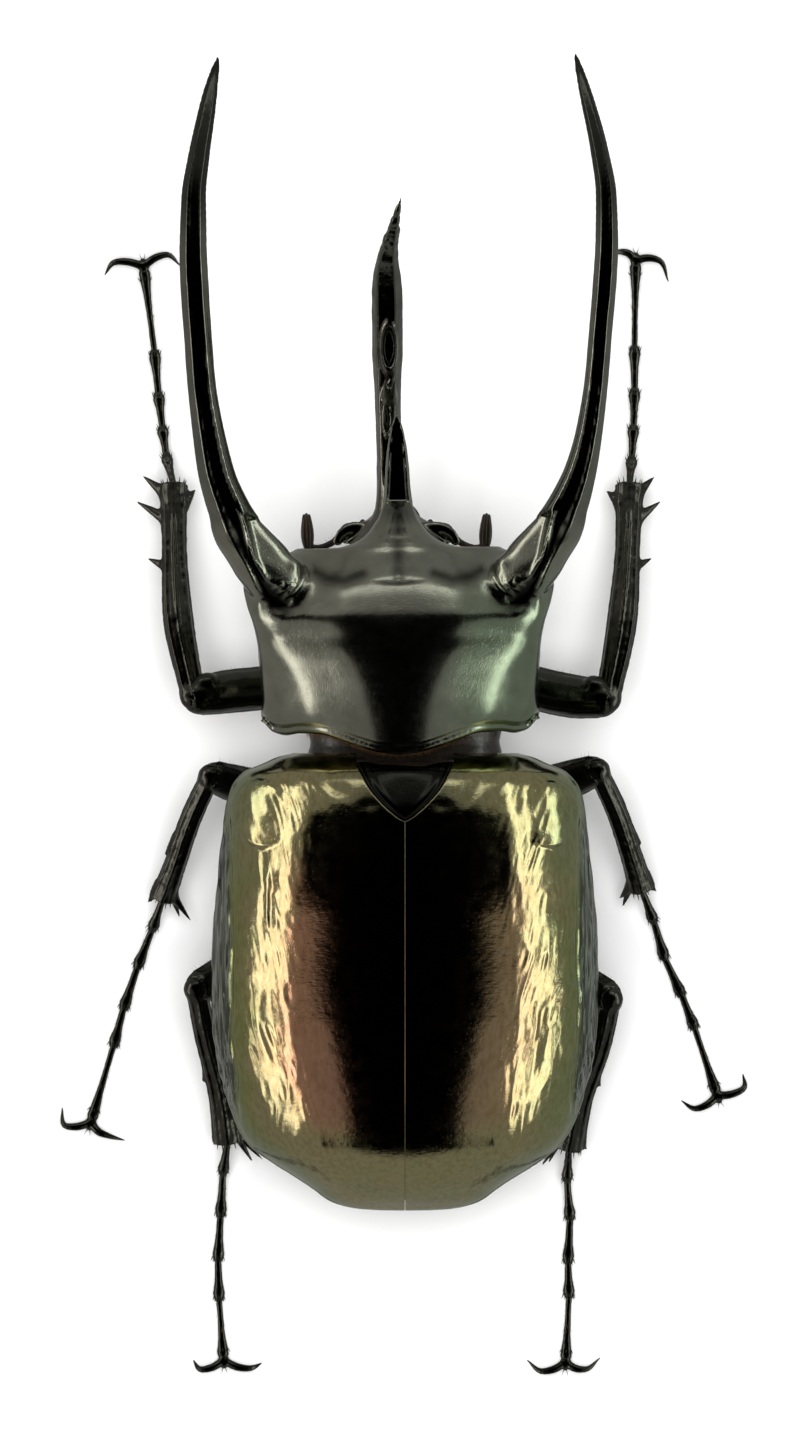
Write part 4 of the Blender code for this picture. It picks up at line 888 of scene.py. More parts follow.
def scutellum(look):
    """The small polished shield between the wing cases, with a fine raised rim."""
    rings = []
    t = np.linspace(-1, 1, 61)
    for along in np.linspace(0, 1, 60):
        half = shield_edge(along) - 0.02
        x = half * t
        front_dip = 0.9 * bell(x, 0, 2.6) * (1 - along) ** 4
        place = SHIELD_FRONT_Y + (SHIELD_TIP_Y - SHIELD_FRONT_Y) * along + front_dip
        top = arch_top(place, x / profile(ELYTRA_HALF_WIDTH, place))
        from_edge = half * (1 - np.abs(t))
        rim = 0.10 * bell(from_edge, 0.18, 0.14) - 0.10 * bell(from_edge, 0.55, 0.25)
        round_over = -0.25 * smoothstep(0.16, 0.0, from_edge)
        hollow = -0.22 * bell(along, 0.35, 0.3) * smoothstep(0.4, 1.6, from_edge)
        high = np.column_stack([x, place, top + 0.05 + rim + round_over + hollow])
        low = high * (1, 1, 0) + np.column_stack([x * 0, x * 0, top - 0.95])
        rings.append(np.vstack([high, low[::-1]]))
    loft_piece(
        "scutellum_shield", rings, ELYTRA_AXIS_X, look["scutellum"], ("scutellum",), "polished_horn",
    )


def pronotum_hind_place(x):
    """Y of the pronotum's hind edge at a place across the animal."""
    local = x - PRONOTUM_AXIS_X
    return profile(PRONOTUM_HIND_EDGE, np.abs(local)) + math.sin(PRONOTUM_YAW) * local


WAIST_HALF_WIDTH = 9.6
WAIST_HALF_HEIGHT = 5.2
WAIST_HEIGHT = 14.4
HIND_BODY_ENDS = (4.7, 48.3)


def waist_rings(angle):
    """Rings from inside the pronotum to the front of the wing cases, with folds between them."""
    rings = []
    for share in np.linspace(0, 1, 9):
        x = WAIST_HALF_WIDTH * np.cos(angle)
        start = pronotum_hind_place(x + ELYTRA_AXIS_X) - 1.2
        place = start * (1 - share) + 4.5 * share
        folds = 0.18 * np.sin(share * 9.0)
        z = WAIST_HEIGHT + (WAIST_HALF_HEIGHT + folds) * np.sin(angle)
        rings.append(np.column_stack([x * (1 + folds / 12), place, z]))
    return rings


def belly_ring(place, upper, lower):
    """One ring at a place along Y: an arch under the wing cases and the grooved belly."""
    x_up, z_up = arch(place, upper, CORE_INSET)
    wide = profile(ELYTRA_HALF_WIDTH, place) - CORE_INSET
    x = wide * np.cos(lower)
    at = place - 0.8 * (1 - (x / wide) ** 2)
    groove = sum(0.34 * bell(at, g, 0.16) - 0.12 * bell(at, g - 0.5, 0.35) for g in BELLY_GROOVES)
    middle = 0.25 * bell(x, 0, 0.25) * smoothstep(22.0, 19.0, place) * smoothstep(8.0, 11.0, place)
    side_groove = 0.25 * bell(np.abs(x), wide * 0.86, 0.25) * smoothstep(6.0, 9.0, place)
    cups = 0.5 * bell(place, 15.2, 0.7) * smoothstep(wide * 0.5, wide * 0.8, np.abs(x))
    drop = profile(BELLY_DEPTH, place) - groove - middle - side_groove * 0.8 - cups * 0.5
    grain = 0.03 * noise(x, place, lower, (0.8, 0.8, 0.8))
    z = profile(MARGIN_HEIGHT, place) + drop * np.sin(lower) + grain
    x, z = np.concatenate([x_up, x]), np.concatenate([z_up, z])
    return np.column_stack([x, np.full(len(x), place), z])


def hind_body(look):
    """Waist, thorax and abdomen under the wing cases, with the plates of the belly."""
    first, last = HIND_BODY_ENDS
    upper = np.linspace(0, math.pi, 50)
    lower = np.linspace(math.pi, 2 * math.pi, 150)[1:-1]
    rings = waist_rings(np.concatenate([upper, lower]))
    for place in np.concatenate([np.arange(first, last, 0.16), [last]]):
        rings.append(belly_ring(place, upper, lower))
    loft_piece("hind_body", rings, ELYTRA_AXIS_X, look["underside"], ("thorax", "abdomen"), "underside")


# Legs. Each line is in millimetres: the coxa under the body, the femur to the knee, the tibia from
# the knee to the foot, the ends of the foot's segments, the bend and tip of each claw, and the root
# and tip of each tooth and spur of the tibia.

LEGS = {
    "fore_left": {
        "coxa": [(3.4, -6.4, 7.6), (7.0, -4.9, 6.9)],
        "femur": [(13.0, -3.1, 7.2), (17.8, -2.5, 8.6)],
        "tibia": [(20.9, -2.0, 9.9), (22.4, -9.5, 8.3), (22.85, -17.0, 5.9), (22.95, -23.2, 3.6)],
        "foot": [(23.7, -26.2), (24.1, -29.0), (24.5, -32.4), (24.9, -36.7), (25.9, -44.6)],
        "claws": [[(29.0, -45.7), (29.9, -44.5)], [(23.6, -46.5), (22.3, -45.4)]],
        "teeth": [[(23.2, -21.9, 4.0), (26.0, -24.2, 2.8)], [(23.0, -19.4, 4.8), (26.6, -21.6, 3.6)],
                  [(22.8, -14.6, 6.4), (25.45, -15.9, 5.4)], [(22.0, -21.4, 4.2), (20.8, -22.8, 3.2)]],
    },
    "fore_right": {
        "coxa": [(-3.0, -6.4, 7.6), (-6.6, -4.9, 6.9)],
        "femur": [(-13.0, -3.0, 7.2), (-17.6, -2.0, 8.6)],
        "tibia": [(-20.6, -1.7, 9.9), (-22.05, -9.5, 8.3), (-22.65, -17.0, 5.9), (-22.85, -23.2, 3.6)],
        "foot": [(-23.1, -25.9), (-23.3, -29.1), (-23.4, -32.8), (-23.4, -37.1), (-23.5, -45.2)],
        "claws": [[(-22.0, -46.8), (-21.3, -46.5)], [(-25.9, -45.9), (-26.8, -43.8)]],
        "teeth": [[(-23.2, -21.9, 4.0), (-25.3, -24.1, 2.8)], [(-23.0, -19.4, 4.8), (-25.9, -21.6, 3.6)],
                  [(-22.6, -14.6, 6.4), (-25.0, -15.9, 5.4)], [(-22.0, -21.4, 4.2), (-20.6, -22.7, 3.2)]],
    },
    "mid_left": {
        "coxa": [(3.2, 9.0, 6.7), (7.4, 9.4, 5.6)],
        "femur": [(12.0, 8.0, 6.6), (16.4, 6.8, 9.0)],
        "tibia": [(19.2, 5.9, 11.0), (21.1, 10.0, 8.9), (22.6, 14.3, 6.2), (23.95, 18.0, 3.6)],
        "foot": [(25.1, 21.3), (26.6, 25.1), (28.0, 29.3), (29.0, 33.0), (31.1, 40.1)],
        "claws": [[(33.9, 41.1), (34.2, 39.3)], [(29.6, 42.1), (27.9, 42.6)]],
        "teeth": [[(22.4, 12.2, 7.4), (23.7, 13.7, 6.4)], [(24.2, 16.9, 4.0), (25.5, 18.6, 3.0)],
                  [(23.4, 17.2, 3.9), (21.3, 20.4, 2.6)], [(23.2, 17.2, 3.5), (22.4, 20.0, 2.0)]],
    },
    "mid_right": {
        "coxa": [(-3.8, 9.0, 6.7), (-8.0, 9.2, 5.6)],
        "femur": [(-12.4, 7.7, 6.6), (-16.8, 6.3, 9.0)],
        "tibia": [(-19.6, 5.3, 11.0), (-21.5, 9.4, 8.9), (-22.9, 13.5, 6.2), (-24.0, 17.1, 3.6)],
        "foot": [(-25.3, 20.5), (-26.4, 24.2), (-28.1, 27.9), (-29.4, 31.2), (-31.5, 37.4)],
        "claws": [[(-34.4, 37.3), (-34.3, 35.9)], [(-29.5, 39.4), (-28.1, 38.6)]],
        "teeth": [[(-22.5, 11.4, 7.4), (-23.9, 12.6, 6.4)], [(-24.2, 15.9, 4.0), (-25.5, 17.5, 3.0)],
                  [(-23.3, 16.2, 3.9), (-21.9, 18.2, 2.8)], [(-23.1, 16.4, 3.5), (-22.2, 19.0, 2.0)]],
    },
    "hind_left": {
        "coxa": [(3.6, 20.6, 6.5), (8.0, 21.6, 5.6)],
        "femur": [(12.6, 23.7, 6.5), (17.4, 25.7, 8.8)],
        "tibia": [(20.6, 27.2, 10.8), (19.6, 32.3, 8.6), (18.2, 37.6, 6.0), (17.5, 42.4, 3.8)],
        "foot": [(18.0, 45.8), (18.25, 50.1), (18.5, 54.6), (18.4, 58.5), (18.0, 64.0)],
        "claws": [[(20.3, 65.6), (21.0, 64.7)], [(15.2, 65.5), (14.1, 65.0)]],
        "teeth": [[(19.0, 34.8, 7.4), (20.0, 36.5, 6.4)], [(17.9, 40.9, 4.4), (18.9, 43.0, 3.2)],
                  [(17.2, 41.0, 4.2), (14.1, 44.4, 2.9)], [(17.1, 41.2, 3.6), (15.1, 44.6, 2.2)]],
    },
    "hind_right": {
        "coxa": [(-4.2, 20.6, 6.5), (-8.6, 21.9, 5.6)],
        "femur": [(-13.0, 24.1, 6.5), (-17.8, 26.7, 8.8)],
        "tibia": [(-20.9, 28.2, 10.8), (-19.8, 33.1, 8.6), (-17.9, 38.2, 6.0), (-16.8, 43.1, 3.8)],
        "foot": [(-16.6, 46.5), (-16.9, 50.4), (-16.7, 54.8), (-16.8, 58.2), (-16.5, 64.2)],
        "claws": [[(-14.0, 65.8), (-12.6, 64.7)], [(-18.5, 65.6), (-19.9, 64.5)]],
        "teeth": [[(-18.9, 35.4, 7.4), (-19.9, 37.0, 6.4)], [(-17.5, 41.4, 4.4), (-18.5, 43.4, 3.2)],
                  [(-16.3, 41.8, 4.2), (-14.1, 45.0, 2.9)], [(-16.2, 41.6, 3.5), (-14.8, 44.7, 2.1)]],
    },
}
FEMUR_HALF = {"fore": (2.05, 1.9), "mid": (2.1, 1.7), "hind": (2.3, 1.8)}
# How much of its half width each thigh keeps at the last three of its line's points
FEMUR_TAPER = {"fore": (1.0, 1.0, 0.9), "mid": (0.96, 0.86, 0.74), "hind": (0.96, 0.84, 0.72)}
TIBIA_HALF = {
    "fore": ([1.1, 1.15, 1.0, 0.8], [1.15, 1.4, 1.1, 1.3]),
    "mid": ([0.95, 0.95, 1.0, 1.1], [0.95, 0.95, 0.95, 1.15]),
    "hind": ([1.0, 1.0, 1.1, 1.25], [1.0, 1.0, 1.15, 1.4]),
}
KNEE_RADIUS = {"fore": 1.25, "mid": 1.15, "hind": 1.2}
# Heights of the ends of the foot's five segments
FOOT_HEIGHTS = (1.5, 0.62, 0.62, 0.62, 0.62)
FLOOR_GAP = 0.06


def turns(count):
    """Angles evenly spaced all round."""
    return np.linspace(0, 2 * math.pi, count + 1)[:-1]


class Spines:
    """Gathers spines or hairs, each a thin bent cone with a number of sides and rings, into one mesh."""

    def __init__(self, sides, rings):
        self.sides = sides
        self.rings = rings
        self.points = []
        self.faces = []

    def add(self, root, tip, radius, bend=(0, 0, 0)):
        """One spine. bend moves its middle sideways."""
        sides, rings = self.sides, self.rings
        root, tip, bend = (np.asarray(v, float) for v in (root, tip, bend))
        along = unit(tip - root)
        helper = UP if abs(along[2]) < 0.8 else np.array([1.0, 0, 0])
        across = unit(np.cross(along, helper))
        up = np.cross(along, across)
        turn = np.arange(sides) * 2 * math.pi / sides
        start = sum(len(p) for p in self.points)
        for k in range(rings):
            t = k / rings
            centre = root + (tip - root) * t + bend * 4 * t * (1 - t)
            size = radius * (1 - t) ** 0.7
            ring = np.cos(turn)[:, None] * across + np.sin(turn)[:, None] * up
            self.points.append(centre + size * ring)
        self.points.append(tip[None, :])
        for k in range(rings - 1):
            for i in range(sides):
                j = (i + 1) % sides
                a, b = start + k * sides, start + (k + 1) * sides
                self.faces.append([a + i, a + j, b + j, b + i])
        last = start + (rings - 1) * sides
        for i in range(sides):
            self.faces.append([last + i, last + (i + 1) % sides, last + sides])
        self.faces.append([start + i for i in reversed(range(sides))])

    def build(self, name, material, slot):
        new_piece(name, np.vstack(self.points), self.faces, material, (), slot)


# Sides and rings of a hair and of a spine
HAIR = (3, 2)
SPINE = (5, 3)


def body_underside(x, y, kind):
    """Height of the underside of the body over a place, where a coxa sits."""
    if kind == "fore":
        wide, edge, low = profiles(y, PRONOTUM_HALF_WIDTH, PRONOTUM_MARGIN, PRONOTUM_UNDERSIDE)
        share, depth = x / wide, edge - low
    else:
        wide, edge, depth = profiles(y, ELYTRA_HALF_WIDTH, MARGIN_HEIGHT, BELLY_DEPTH)
        share = (x - ELYTRA_AXIS_X) / (wide - CORE_INSET)
    return edge - depth * np.sqrt(1 - np.clip(share, -1, 1) ** 2)


def coxa(name, leg, kind, look):
    """The short hip segment under the body, with a fine grain."""
    root, turn = (np.array(p) for p in leg["coxa"])
    along = unit(np.array(leg["femur"][0]) - turn)
    line = [root, (root + turn) / 2, turn - along * 0.4]

    def field(x, y, z):
        tube = chain_field(line, [1.75, 2.2, 1.9], x, y, z, 8, (UP, 0.72))
        cut = past_plane(x, y, z, turn, along) + 0.17
        body = z - (body_underside(x, y, kind) + 0.15)
        grain = 0.03 * noise(x, y, z, (0.6, 0.6, 0.6))
        return np.maximum(np.maximum(tube - grain, cut), body)

    slim_piece(f"hip_{name}", field, line, 2.6, 0.16, look["underside"], (f"coxa_{name}",), "leg")


def femur(name, leg, kind, look, hairs, draw):
    """The thigh: a flattened glossy spindle with a ring at its root, a keel on each edge and a cup for
    the knee."""
    turn = np.array(leg["coxa"][1])
    middle = np.array(leg["femur"][0])
    knee = np.array(leg["tibia"][0])
    wide, tall = FEMUR_HALF[kind]
    along = unit(middle - turn)
    start = turn + along * 0.25
    end = knee - unit(knee - middle) * (KNEE_RADIUS[kind] * 0.55)
    line = [start, start * 0.6 + middle * 0.4, middle, np.array(leg["femur"][1]), end]
    radii = [1.35, wide, *(wide * share for share in FEMUR_TAPER[kind])]
    outward = np.array([math.copysign(1.0, knee[0]), 0, 0])
    ahead = unit(np.cross(UP, knee - turn)) * -outward[0]
    keel = [p + ahead * (r * 0.93) + UP * 0.1 for p, r in zip(line[1:], radii[1:])]
    hind_keel = [p - ahead * (r * 0.93) - UP * 0.2 for p, r in zip(line[1:], radii[1:])]
    lobe = [knee - outward * 1.7 + ahead * 1.35, knee - outward * 1.2 + ahead * 1.25]

    def field(x, y, z):
        tube = chain_field(line, radii, x, y, z, 14, (UP, tall / wide))
        if kind == "fore":
            tube = smooth_union(tube, chain_field(lobe, [1.15, 1.15], x, y, z, 2), 0.25)
        for edge in (keel, hind_keel):
            tube = smooth_union(tube, chain_field(edge, [0.22, 0.26, 0.24, 0.16], x, y, z, 8), 0.35)
        cup = KNEE_RADIUS[kind] + 0.03 - from_point(x, y, z, knee)
        inside = past_plane(x, y, z, start, along)
        ring = 0.16 * bell(inside, 1.5, 0.18)
        pits = np.minimum(0, noise(x, y, z, (0.3, 0.3, 0.3)) + 0.4)
        grain = 0.02 * noise(x, y, z, (0.8, 0.8, 0.8)) + 0.02 * pits
        return np.maximum(np.maximum(tube + ring - grain, cup), -inside)

    slim_piece(f"thigh_{name}", field, line, 2.9, 0.13, look["leg"], (f"femur_{name}",), "leg")
    for point in even_line(keel, 26)[0]:
        lean = ahead * draw.uniform(0.5, 0.9) + UP * draw.uniform(-0.3, 0.5) + unit(knee - middle) * 0.4
        hairs.add(point, point + lean * draw.uniform(0.5, 0.9), 0.03, draw.normal(0, 0.04, 3))


def tibia(name, leg, kind, look, spines, hairs, draw):
    """The shin: a ridged tube that widens to its end, with teeth along it and long spurs at its end."""
    line = [np.array(p) for p in leg["tibia"]]
    tall, wide = TIBIA_HALF[kind]
    slope = unit(line[-1] - line[-2])
    outward = unit(np.cross(slope, UP))
    outward = outward * (1 if outward[0] * line[0][0] > 0 else -1)
    up = unit(np.cross(outward, slope))
    up = up if up[2] > 0 else -up
    knee, end = line[0], line[-1] + slope * 0.12
    ridges = []
    for side, lift in ((0.0, 0.98), (0.75, 0.62), (-0.75, 0.62), (0.98, -0.1), (-0.98, -0.1)):
        ridges.append([p + outward * (w * side) + up * (t * lift) for p, w, t in zip(line, wide, tall)])
    radii = [max(w, t) for w, t in zip(wide, tall)]
    squeeze = np.mean([t / w for t, w in zip(tall, wide)])
    flat = (up if squeeze < 1 else outward, min(squeeze, 1 / squeeze))
    teeth = [(np.array(root), np.array(tip)) for root, tip in leg["teeth"]]

    def field(x, y, z):
        tube = chain_field(line, radii, x, y, z, 14, flat)
        for ridge in ridges:
            tube = smooth_union(tube, chain_field(ridge, [0.08, 0.17, 0.18, 0.16], x, y, z, 10), 0.22)
        tube = smooth_union(tube, from_point(x, y, z, knee) - KNEE_RADIUS[kind], 0.5)
        tube = tube - 0.03 * noise(x, y, z, (0.55, 0.55, 0.55))
        tube = np.maximum(tube, past_plane(x, y, z, end, slope))
        for k, (root, tip) in enumerate(teeth):
            middle = (root * 0.5 + tip * 0.5) + up * 0.12
            slim = 0.5 if kind != "fore" and k > 1 else 0.72
            tooth = chain_field([root, middle, tip], [slim, slim * 0.62, 0.07], x, y, z, 5)
            tube = smooth_union(tube, tooth, 0.45)
        return tube

    everything = line + [point for tooth in teeth for point in tooth]
    slim_piece(f"shin_{name}", field, everything, 1.9, 0.125, look["leg"], (f"tibia_{name}",), "leg")
    for turn in turns(12):
        across, above = outward * math.cos(turn), up * math.sin(turn)
        root = end + (across * wide[-1] + above * tall[-1]) * 0.86 - slope * 0.1
        spines.add(root, root + slope * draw.uniform(0.5, 0.9) + (across + above) * 0.18, 0.09)
    for ridge in ridges:
        for point in even_line(ridge, 18)[0][4:]:
            lean = slope * draw.uniform(0.5, 0.8) + outward * draw.uniform(-0.4, 0.4)
            lean = lean + up * draw.uniform(0.1, 0.4)
            hairs.add(point, point + lean * draw.uniform(0.5, 0.9), 0.032, draw.normal(0, 0.03, 3))


# A segment of the foot: places along it, its half width at each, and the length of its end spines
SEGMENT = ((-0.02, 0.12, 0.35, 0.65, 0.86, 0.97), (0.30, 0.34, 0.36, 0.44, 0.60, 0.50), 0.85)
LAST_SEGMENT = ((-0.02, 0.08, 0.3, 0.62, 0.88, 1.0), (0.28, 0.30, 0.29, 0.34, 0.50, 0.58), 0.55)


def over_floor(point):
    return np.array([point[0], point[1], max(point[2], FLOOR_GAP)])


def united(fields, width):
    """Many fields as one, each joined in turn with a fillet."""
    skin = fields[0]
    for field in fields[1:]:
        skin = smooth_union(skin, field, width)
    return skin


def foot(name, leg, look, spines, hairs, draw):
    """The five segments of the foot, each slender at its root and swollen at its spined end."""
    before, end = (np.array(p) for p in leg["tibia"][-2:])
    start = end + unit(end - before) * 0.1
    joints = [start] + [np.array([x, y, z]) for (x, y), z in zip(leg["foot"], FOOT_HEIGHTS)]
    segments = list(zip(joints, joints[1:], [SEGMENT] * 4 + [LAST_SEGMENT]))

    def field(x, y, z):
        tubes = []
        for back, ahead, (shares, radii, _) in segments:
            line = [back + (ahead - back) * share for share in shares]
            tubes.append(chain_field(line, radii, x, y, z, 9))
        grain = 0.02 * noise(x, y, z, (0.35, 0.35, 0.35))
        return np.maximum(united(tubes, 0.05) - grain, 0.02 - z)

    slim_piece(f"tarsus_{name}", field, joints, 0.9, 0.085, look["leg"], (f"foot_{name}",), "leg")
    for back, ahead, (_, _, spine_length) in segments:
        along = unit(ahead - back)
        side = unit(np.cross(along, UP))
        up = np.cross(side, along)
        for turn in turns(8):
            out = side * math.cos(turn) + up * math.sin(turn)
            root = back + (ahead - back) * 0.9 + out * 0.45
            lean = along * spine_length * draw.uniform(0.7, 1.0) + out * draw.uniform(0.15, 0.38)
            spines.add(root, over_floor(root + lean), 0.075)
        for _ in range(10):
            at = draw.uniform(0.25, 0.8)
            turn = draw.uniform(0, 2 * math.pi)
            out = side * math.cos(turn) + up * math.sin(turn)
            root = back + (ahead - back) * at + out * 0.30
            hairs.add(root, over_floor(root + along * 0.5 + out * draw.uniform(0.2, 0.4)), 0.022)


def claws(name, leg, look, spines):
    """The two hooked claws on their root, with the small two-bristled lobe between them."""
    before, end = (np.array(place) for place in leg["foot"][-2:])
    along = unit(end - before)
    centre = end + along * 0.75
    root = [(*(centre - along * 0.72), 0.66), (*centre, 0.72), (*(centre + along * 0.5), 0.7)]
    hooks = []
    for bend, tip in leg["claws"]:
        arched = centre * 0.45 + np.array(bend) * 0.55 + along * 0.25
        hooks.append([(*centre, 0.75), (*arched, 1.15), (*bend, 0.95), (*tip, 0.14)])

    def field(x, y, z):
        parts = [chain_field(root, [0.42, 0.52, 0.3], x, y, z, 5)]
        parts += [chain_field(hook, [0.42, 0.38, 0.29, 0.05], x, y, z, 12) for hook in hooks]
        return np.maximum(united(parts, 0.2), 0.03 - z)

    everything = [p for hook in hooks for p in hook] + root
    slim_piece(f"hooks_{name}", field, everything, 0.7, 0.075, look["leg"], (f"claws_{name}",), "leg")
    side = np.array([-along[1], along[0]])
    for way in (-1, 1):
        start = (*(centre + along * 0.3), 0.62)
        tip = (*(centre + along * 1.5 + side * way * 0.35), 0.35)
        spines.add(start, tip, 0.06, (0, 0, 0.05))


def legs(look):
    """All six legs with the spines and hairs on them."""
    draw = np.random.default_rng(11)
    spines, hairs = Spines(*SPINE), Spines(*HAIR)
    for name, leg in LEGS.items():
        kind = name.split("_")[0]
        coxa(name, leg, kind, look)
        femur(name, leg, kind, look, hairs, draw)
        tibia(name, leg, kind, look, spines, hairs, draw)
        foot(name, leg, look, spines, hairs, draw)
        claws(name, leg, look, spines)
    spines.build("leg_spines", look["leg"], "leg")
    hairs.build("leg_hairs", look["hair"], "leg")


# Feelers, eyes and mouth

STALK = [
    (4.0, -18.8, 10.3), (5.1, -18.3, 10.0), (6.2, -17.6, 9.9), (7.2, -17.1, 10.1), (8.0, -16.9, 10.3),
    (8.8, -17.0, 10.6),
]
STALK_STEPS = 40
# The feeler's segments before its club: first and last step on the stalk, half width at its ends and middle
BEADS = (
    (0, 15, 0.30, 0.46), (15, 20, 0.30, 0.42), (20, 24, 0.30, 0.34), (24, 28, 0.29, 0.33),
    (28, 32, 0.29, 0.34), (32, 36, 0.30, 0.38), (36, 40, 0.32, 0.46),
)
CLUB = [(8.85, -16.8, 10.6), (9.0, -19.75, 11.0)]


def feeler(side_name, side, look, hairs, draw):
    """A feeler: long first segment, a bead, five short segments and a club of three leaves."""
    points, along = even_line(on_head(side, STALK), STALK_STEPS + 1)
    root, tip = (np.array(point) for point in on_head(side, CLUB))
    lean = unit(tip - root)
    across = unit(np.cross(lean, UP))

    def field(x, y, z):
        skin = united([
            chain_field(points[[a, (a + b) // 2, b]], [thin, thick, thin], x, y, z, 4)
            for a, b, thin, thick in BEADS
        ], 0.06)
        for k in (-1, 0, 1):
            start = root + across * (0.20 * k) + lean * 0.1
            stop = tip + across * (0.26 * k) - lean * (0.12 * abs(k))
            line = [start, start * 0.5 + stop * 0.5 + across * 0.14 * k, stop]
            leaf = chain_field(line, [0.46, 0.90, 0.70], x, y, z, 10, (across, 0.32))
            skin = smooth_union(skin, leaf, 0.16)
        return skin

    everything = [*points, tip, root]
    nodes = (f"antenna_{side_name}",)
    slim_piece(f"feeler_{side_name}", field, everything, 1.2, 0.06, look["feeler"], nodes, "feeler")
    for k in range(2, 38, 2):
        turn = draw.uniform(0, 2 * math.pi)
        out = unit(np.cross(along[k], (math.cos(turn), math.sin(turn), 0.5)))
        start = points[k] + out * 0.3
        hairs.add(start, start + out * draw.uniform(0.3, 0.6) + along[k] * 0.25, 0.02)


EYE_FACETS = 34.0


def eye(side_name, side, look):
    """An eye of small six-sided facets."""
    rows = 150
    centre = np.array(on_head(side, [EYE_PLACE])[0])
    turn = np.arange(rows * 2) * math.pi / rows
    rings = []
    for t in np.linspace(0.02, math.pi - 0.02, rows):
        u, v = turn * EYE_FACETS * math.sin(t), t * EYE_FACETS
        lumps = np.cos(v * 1.1547) * np.cos(u * 0.5) + 0.5 * np.cos(u)
        radius = EYE_RADIUS * (1 + 0.004 * lumps)
        flat = radius * np.sin(t)
        ring = np.column_stack([flat * np.cos(turn), flat * np.sin(turn), radius * np.cos(t)])
        rings.append(centre + ring)
    loft_piece(f"eye_{side_name}_facets", rings, 0.0, look["eye"], (f"eye_{side_name}",), "eye")


CHIN = [(0.0, -20.3, 9.2), (0.0, -19.2, 8.95), (0.0, -17.9, 8.8)]
JAW = [(1.2, -19.4, 8.95), (1.5, -20.5, 9.1), (0.8, -21.3, 9.5)]
JAW_TOOTH = [(1.4, -20.3, 9.1), (0.7, -20.7, 9.3)]
PALP = [(1.8, -18.8, 8.6), (2.5, -18.8, 8.25), (3.2, -18.9, 7.9), (3.35, -19.2, 7.55), (3.4, -19.6, 7.2)]
PALP_HALF_WIDTHS = (0.40, 0.40, 0.40, 0.36)
MOUTH_BOX = [(-4.0, -21.6, 7.1), (4.0, -16.8, 9.9)]


def mouth(look, hairs, draw):
    """Jaws, jointed feelers of the mouth and the hairy chin plate, under the head."""
    parts = [(on_head(1, CHIN), [1.7, 2.5, 2.2], (UP, 0.3))]
    for side in (1, -1):
        parts.append((on_head(side, JAW), [0.75, 0.55, 0.16], (UP, 0.6)))
        parts.append((on_head(side, JAW_TOOTH), [0.4, 0.15], None))
        palp = np.array(on_head(side, PALP))
        for a, b, size in zip(palp, palp[1:], PALP_HALF_WIDTHS):
            parts.append(([a, (a + b) / 2, b], [0.22, size, 0.24], None))

    def field(x, y, z):
        tubes = [chain_field(line, radii, x, y, z, 5, flat) for line, radii, flat in parts]
        return united(tubes, 0.12) - 0.03 * noise(x, y, z, (0.5, 0.5, 0.5))

    slim_piece("jaws", field, on_head(1, MOUTH_BOX), 0.7, 0.10, look["underside"], ("mouth",), "underside")
    for _ in range(220):
        x = draw.uniform(-2.4, 2.4)
        start = np.array([HEAD_AXIS_X + x * 0.8, draw.uniform(-20.4, -17.6), 8.45])
        lean = (x * 0.12, -draw.uniform(0.6, 1.3), -draw.uniform(0.2, 0.7))
        hairs.add(start, start + lean, 0.022)


def waist_hairs(hairs, draw):
    """The fringe of short hairs that stands out from under the shield's hind margin."""
    for _ in range(1500):
        x = draw.uniform(-9.4, 9.4)
        y = pronotum_hind_place(x + PRONOTUM_AXIS_X) - 0.25
        z = WAIST_HEIGHT + 5.0 * math.sqrt(max(0.0, 1 - (x / 9.7) ** 2))
        start = np.array([x + PRONOTUM_AXIS_X, float(y), z])
        lean = (draw.normal(0, 0.22), draw.uniform(0.35, 0.85), draw.uniform(0.05, 0.45))
        hairs.add(start, start + lean, 0.022, (0, 0, 0.04))


def body_hairs(look):
    """Hairs of the head, mouth, waist and feelers as one piece."""
    draw = np.random.default_rng(23)
    hairs = Spines(*HAIR)
    for side_name, side in (("left", 1), ("right", -1)):
        feeler(side_name, side, look, hairs, draw)
        eye(side_name, side, look)
    mouth(look, hairs, draw)
    waist_hairs(hairs, draw)
    hairs.build("body_hairs", look["hair"], "underside")


# Surfaces. Every coordinate that a surface reads is in millimetres on the animal.


def add(tree, kind, inputs=None, **settings):
    """A node with its settings, its sockets' values and its links."""
    made = tree.nodes.new(kind)
    for key, value in settings.items():
        setattr(made, key, value)
    for key, value in (inputs or {}).items():
        if isinstance(value, bpy.types.NodeSocket):
            tree.links.new(value, made.inputs[key])
        else:
            made.inputs[key].default_value = value
    return made


def surface(name, **shine):
    """A new surface, its shader and its coordinates in millimetres."""
    material = bpy.data.materials.new(name)
    material.use_nodes = True
    tree = material.node_tree
    shader = tree.nodes["Principled BSDF"]
    for key, value in shine.items():
        shader.inputs[key.replace("_", " ")].default_value = value
    place = add(tree, "ShaderNodeTexCoord").outputs["Object"]
    scaled = add(tree, "ShaderNodeVectorMath", {0: place, "Scale": 1000.0}, operation="SCALE")
    return material, tree, shader, scaled.outputs[0]


def math_node(tree, operation, first, second=0.0):
    return add(tree, "ShaderNodeMath", {0: first, 1: second}, operation=operation).outputs[0]


def speckle(tree, place, scale, detail=3.0, stretch=None):
    """Noise from 0 to 1 with grains per millimetre as asked."""
    if stretch:
        place = add(tree, "ShaderNodeVectorMath", {0: place, 1: stretch}, operation="MULTIPLY").outputs[0]
    return add(tree, "ShaderNodeTexNoise", {"Vector": place, "Scale": scale, "Detail": detail}).outputs["Fac"]


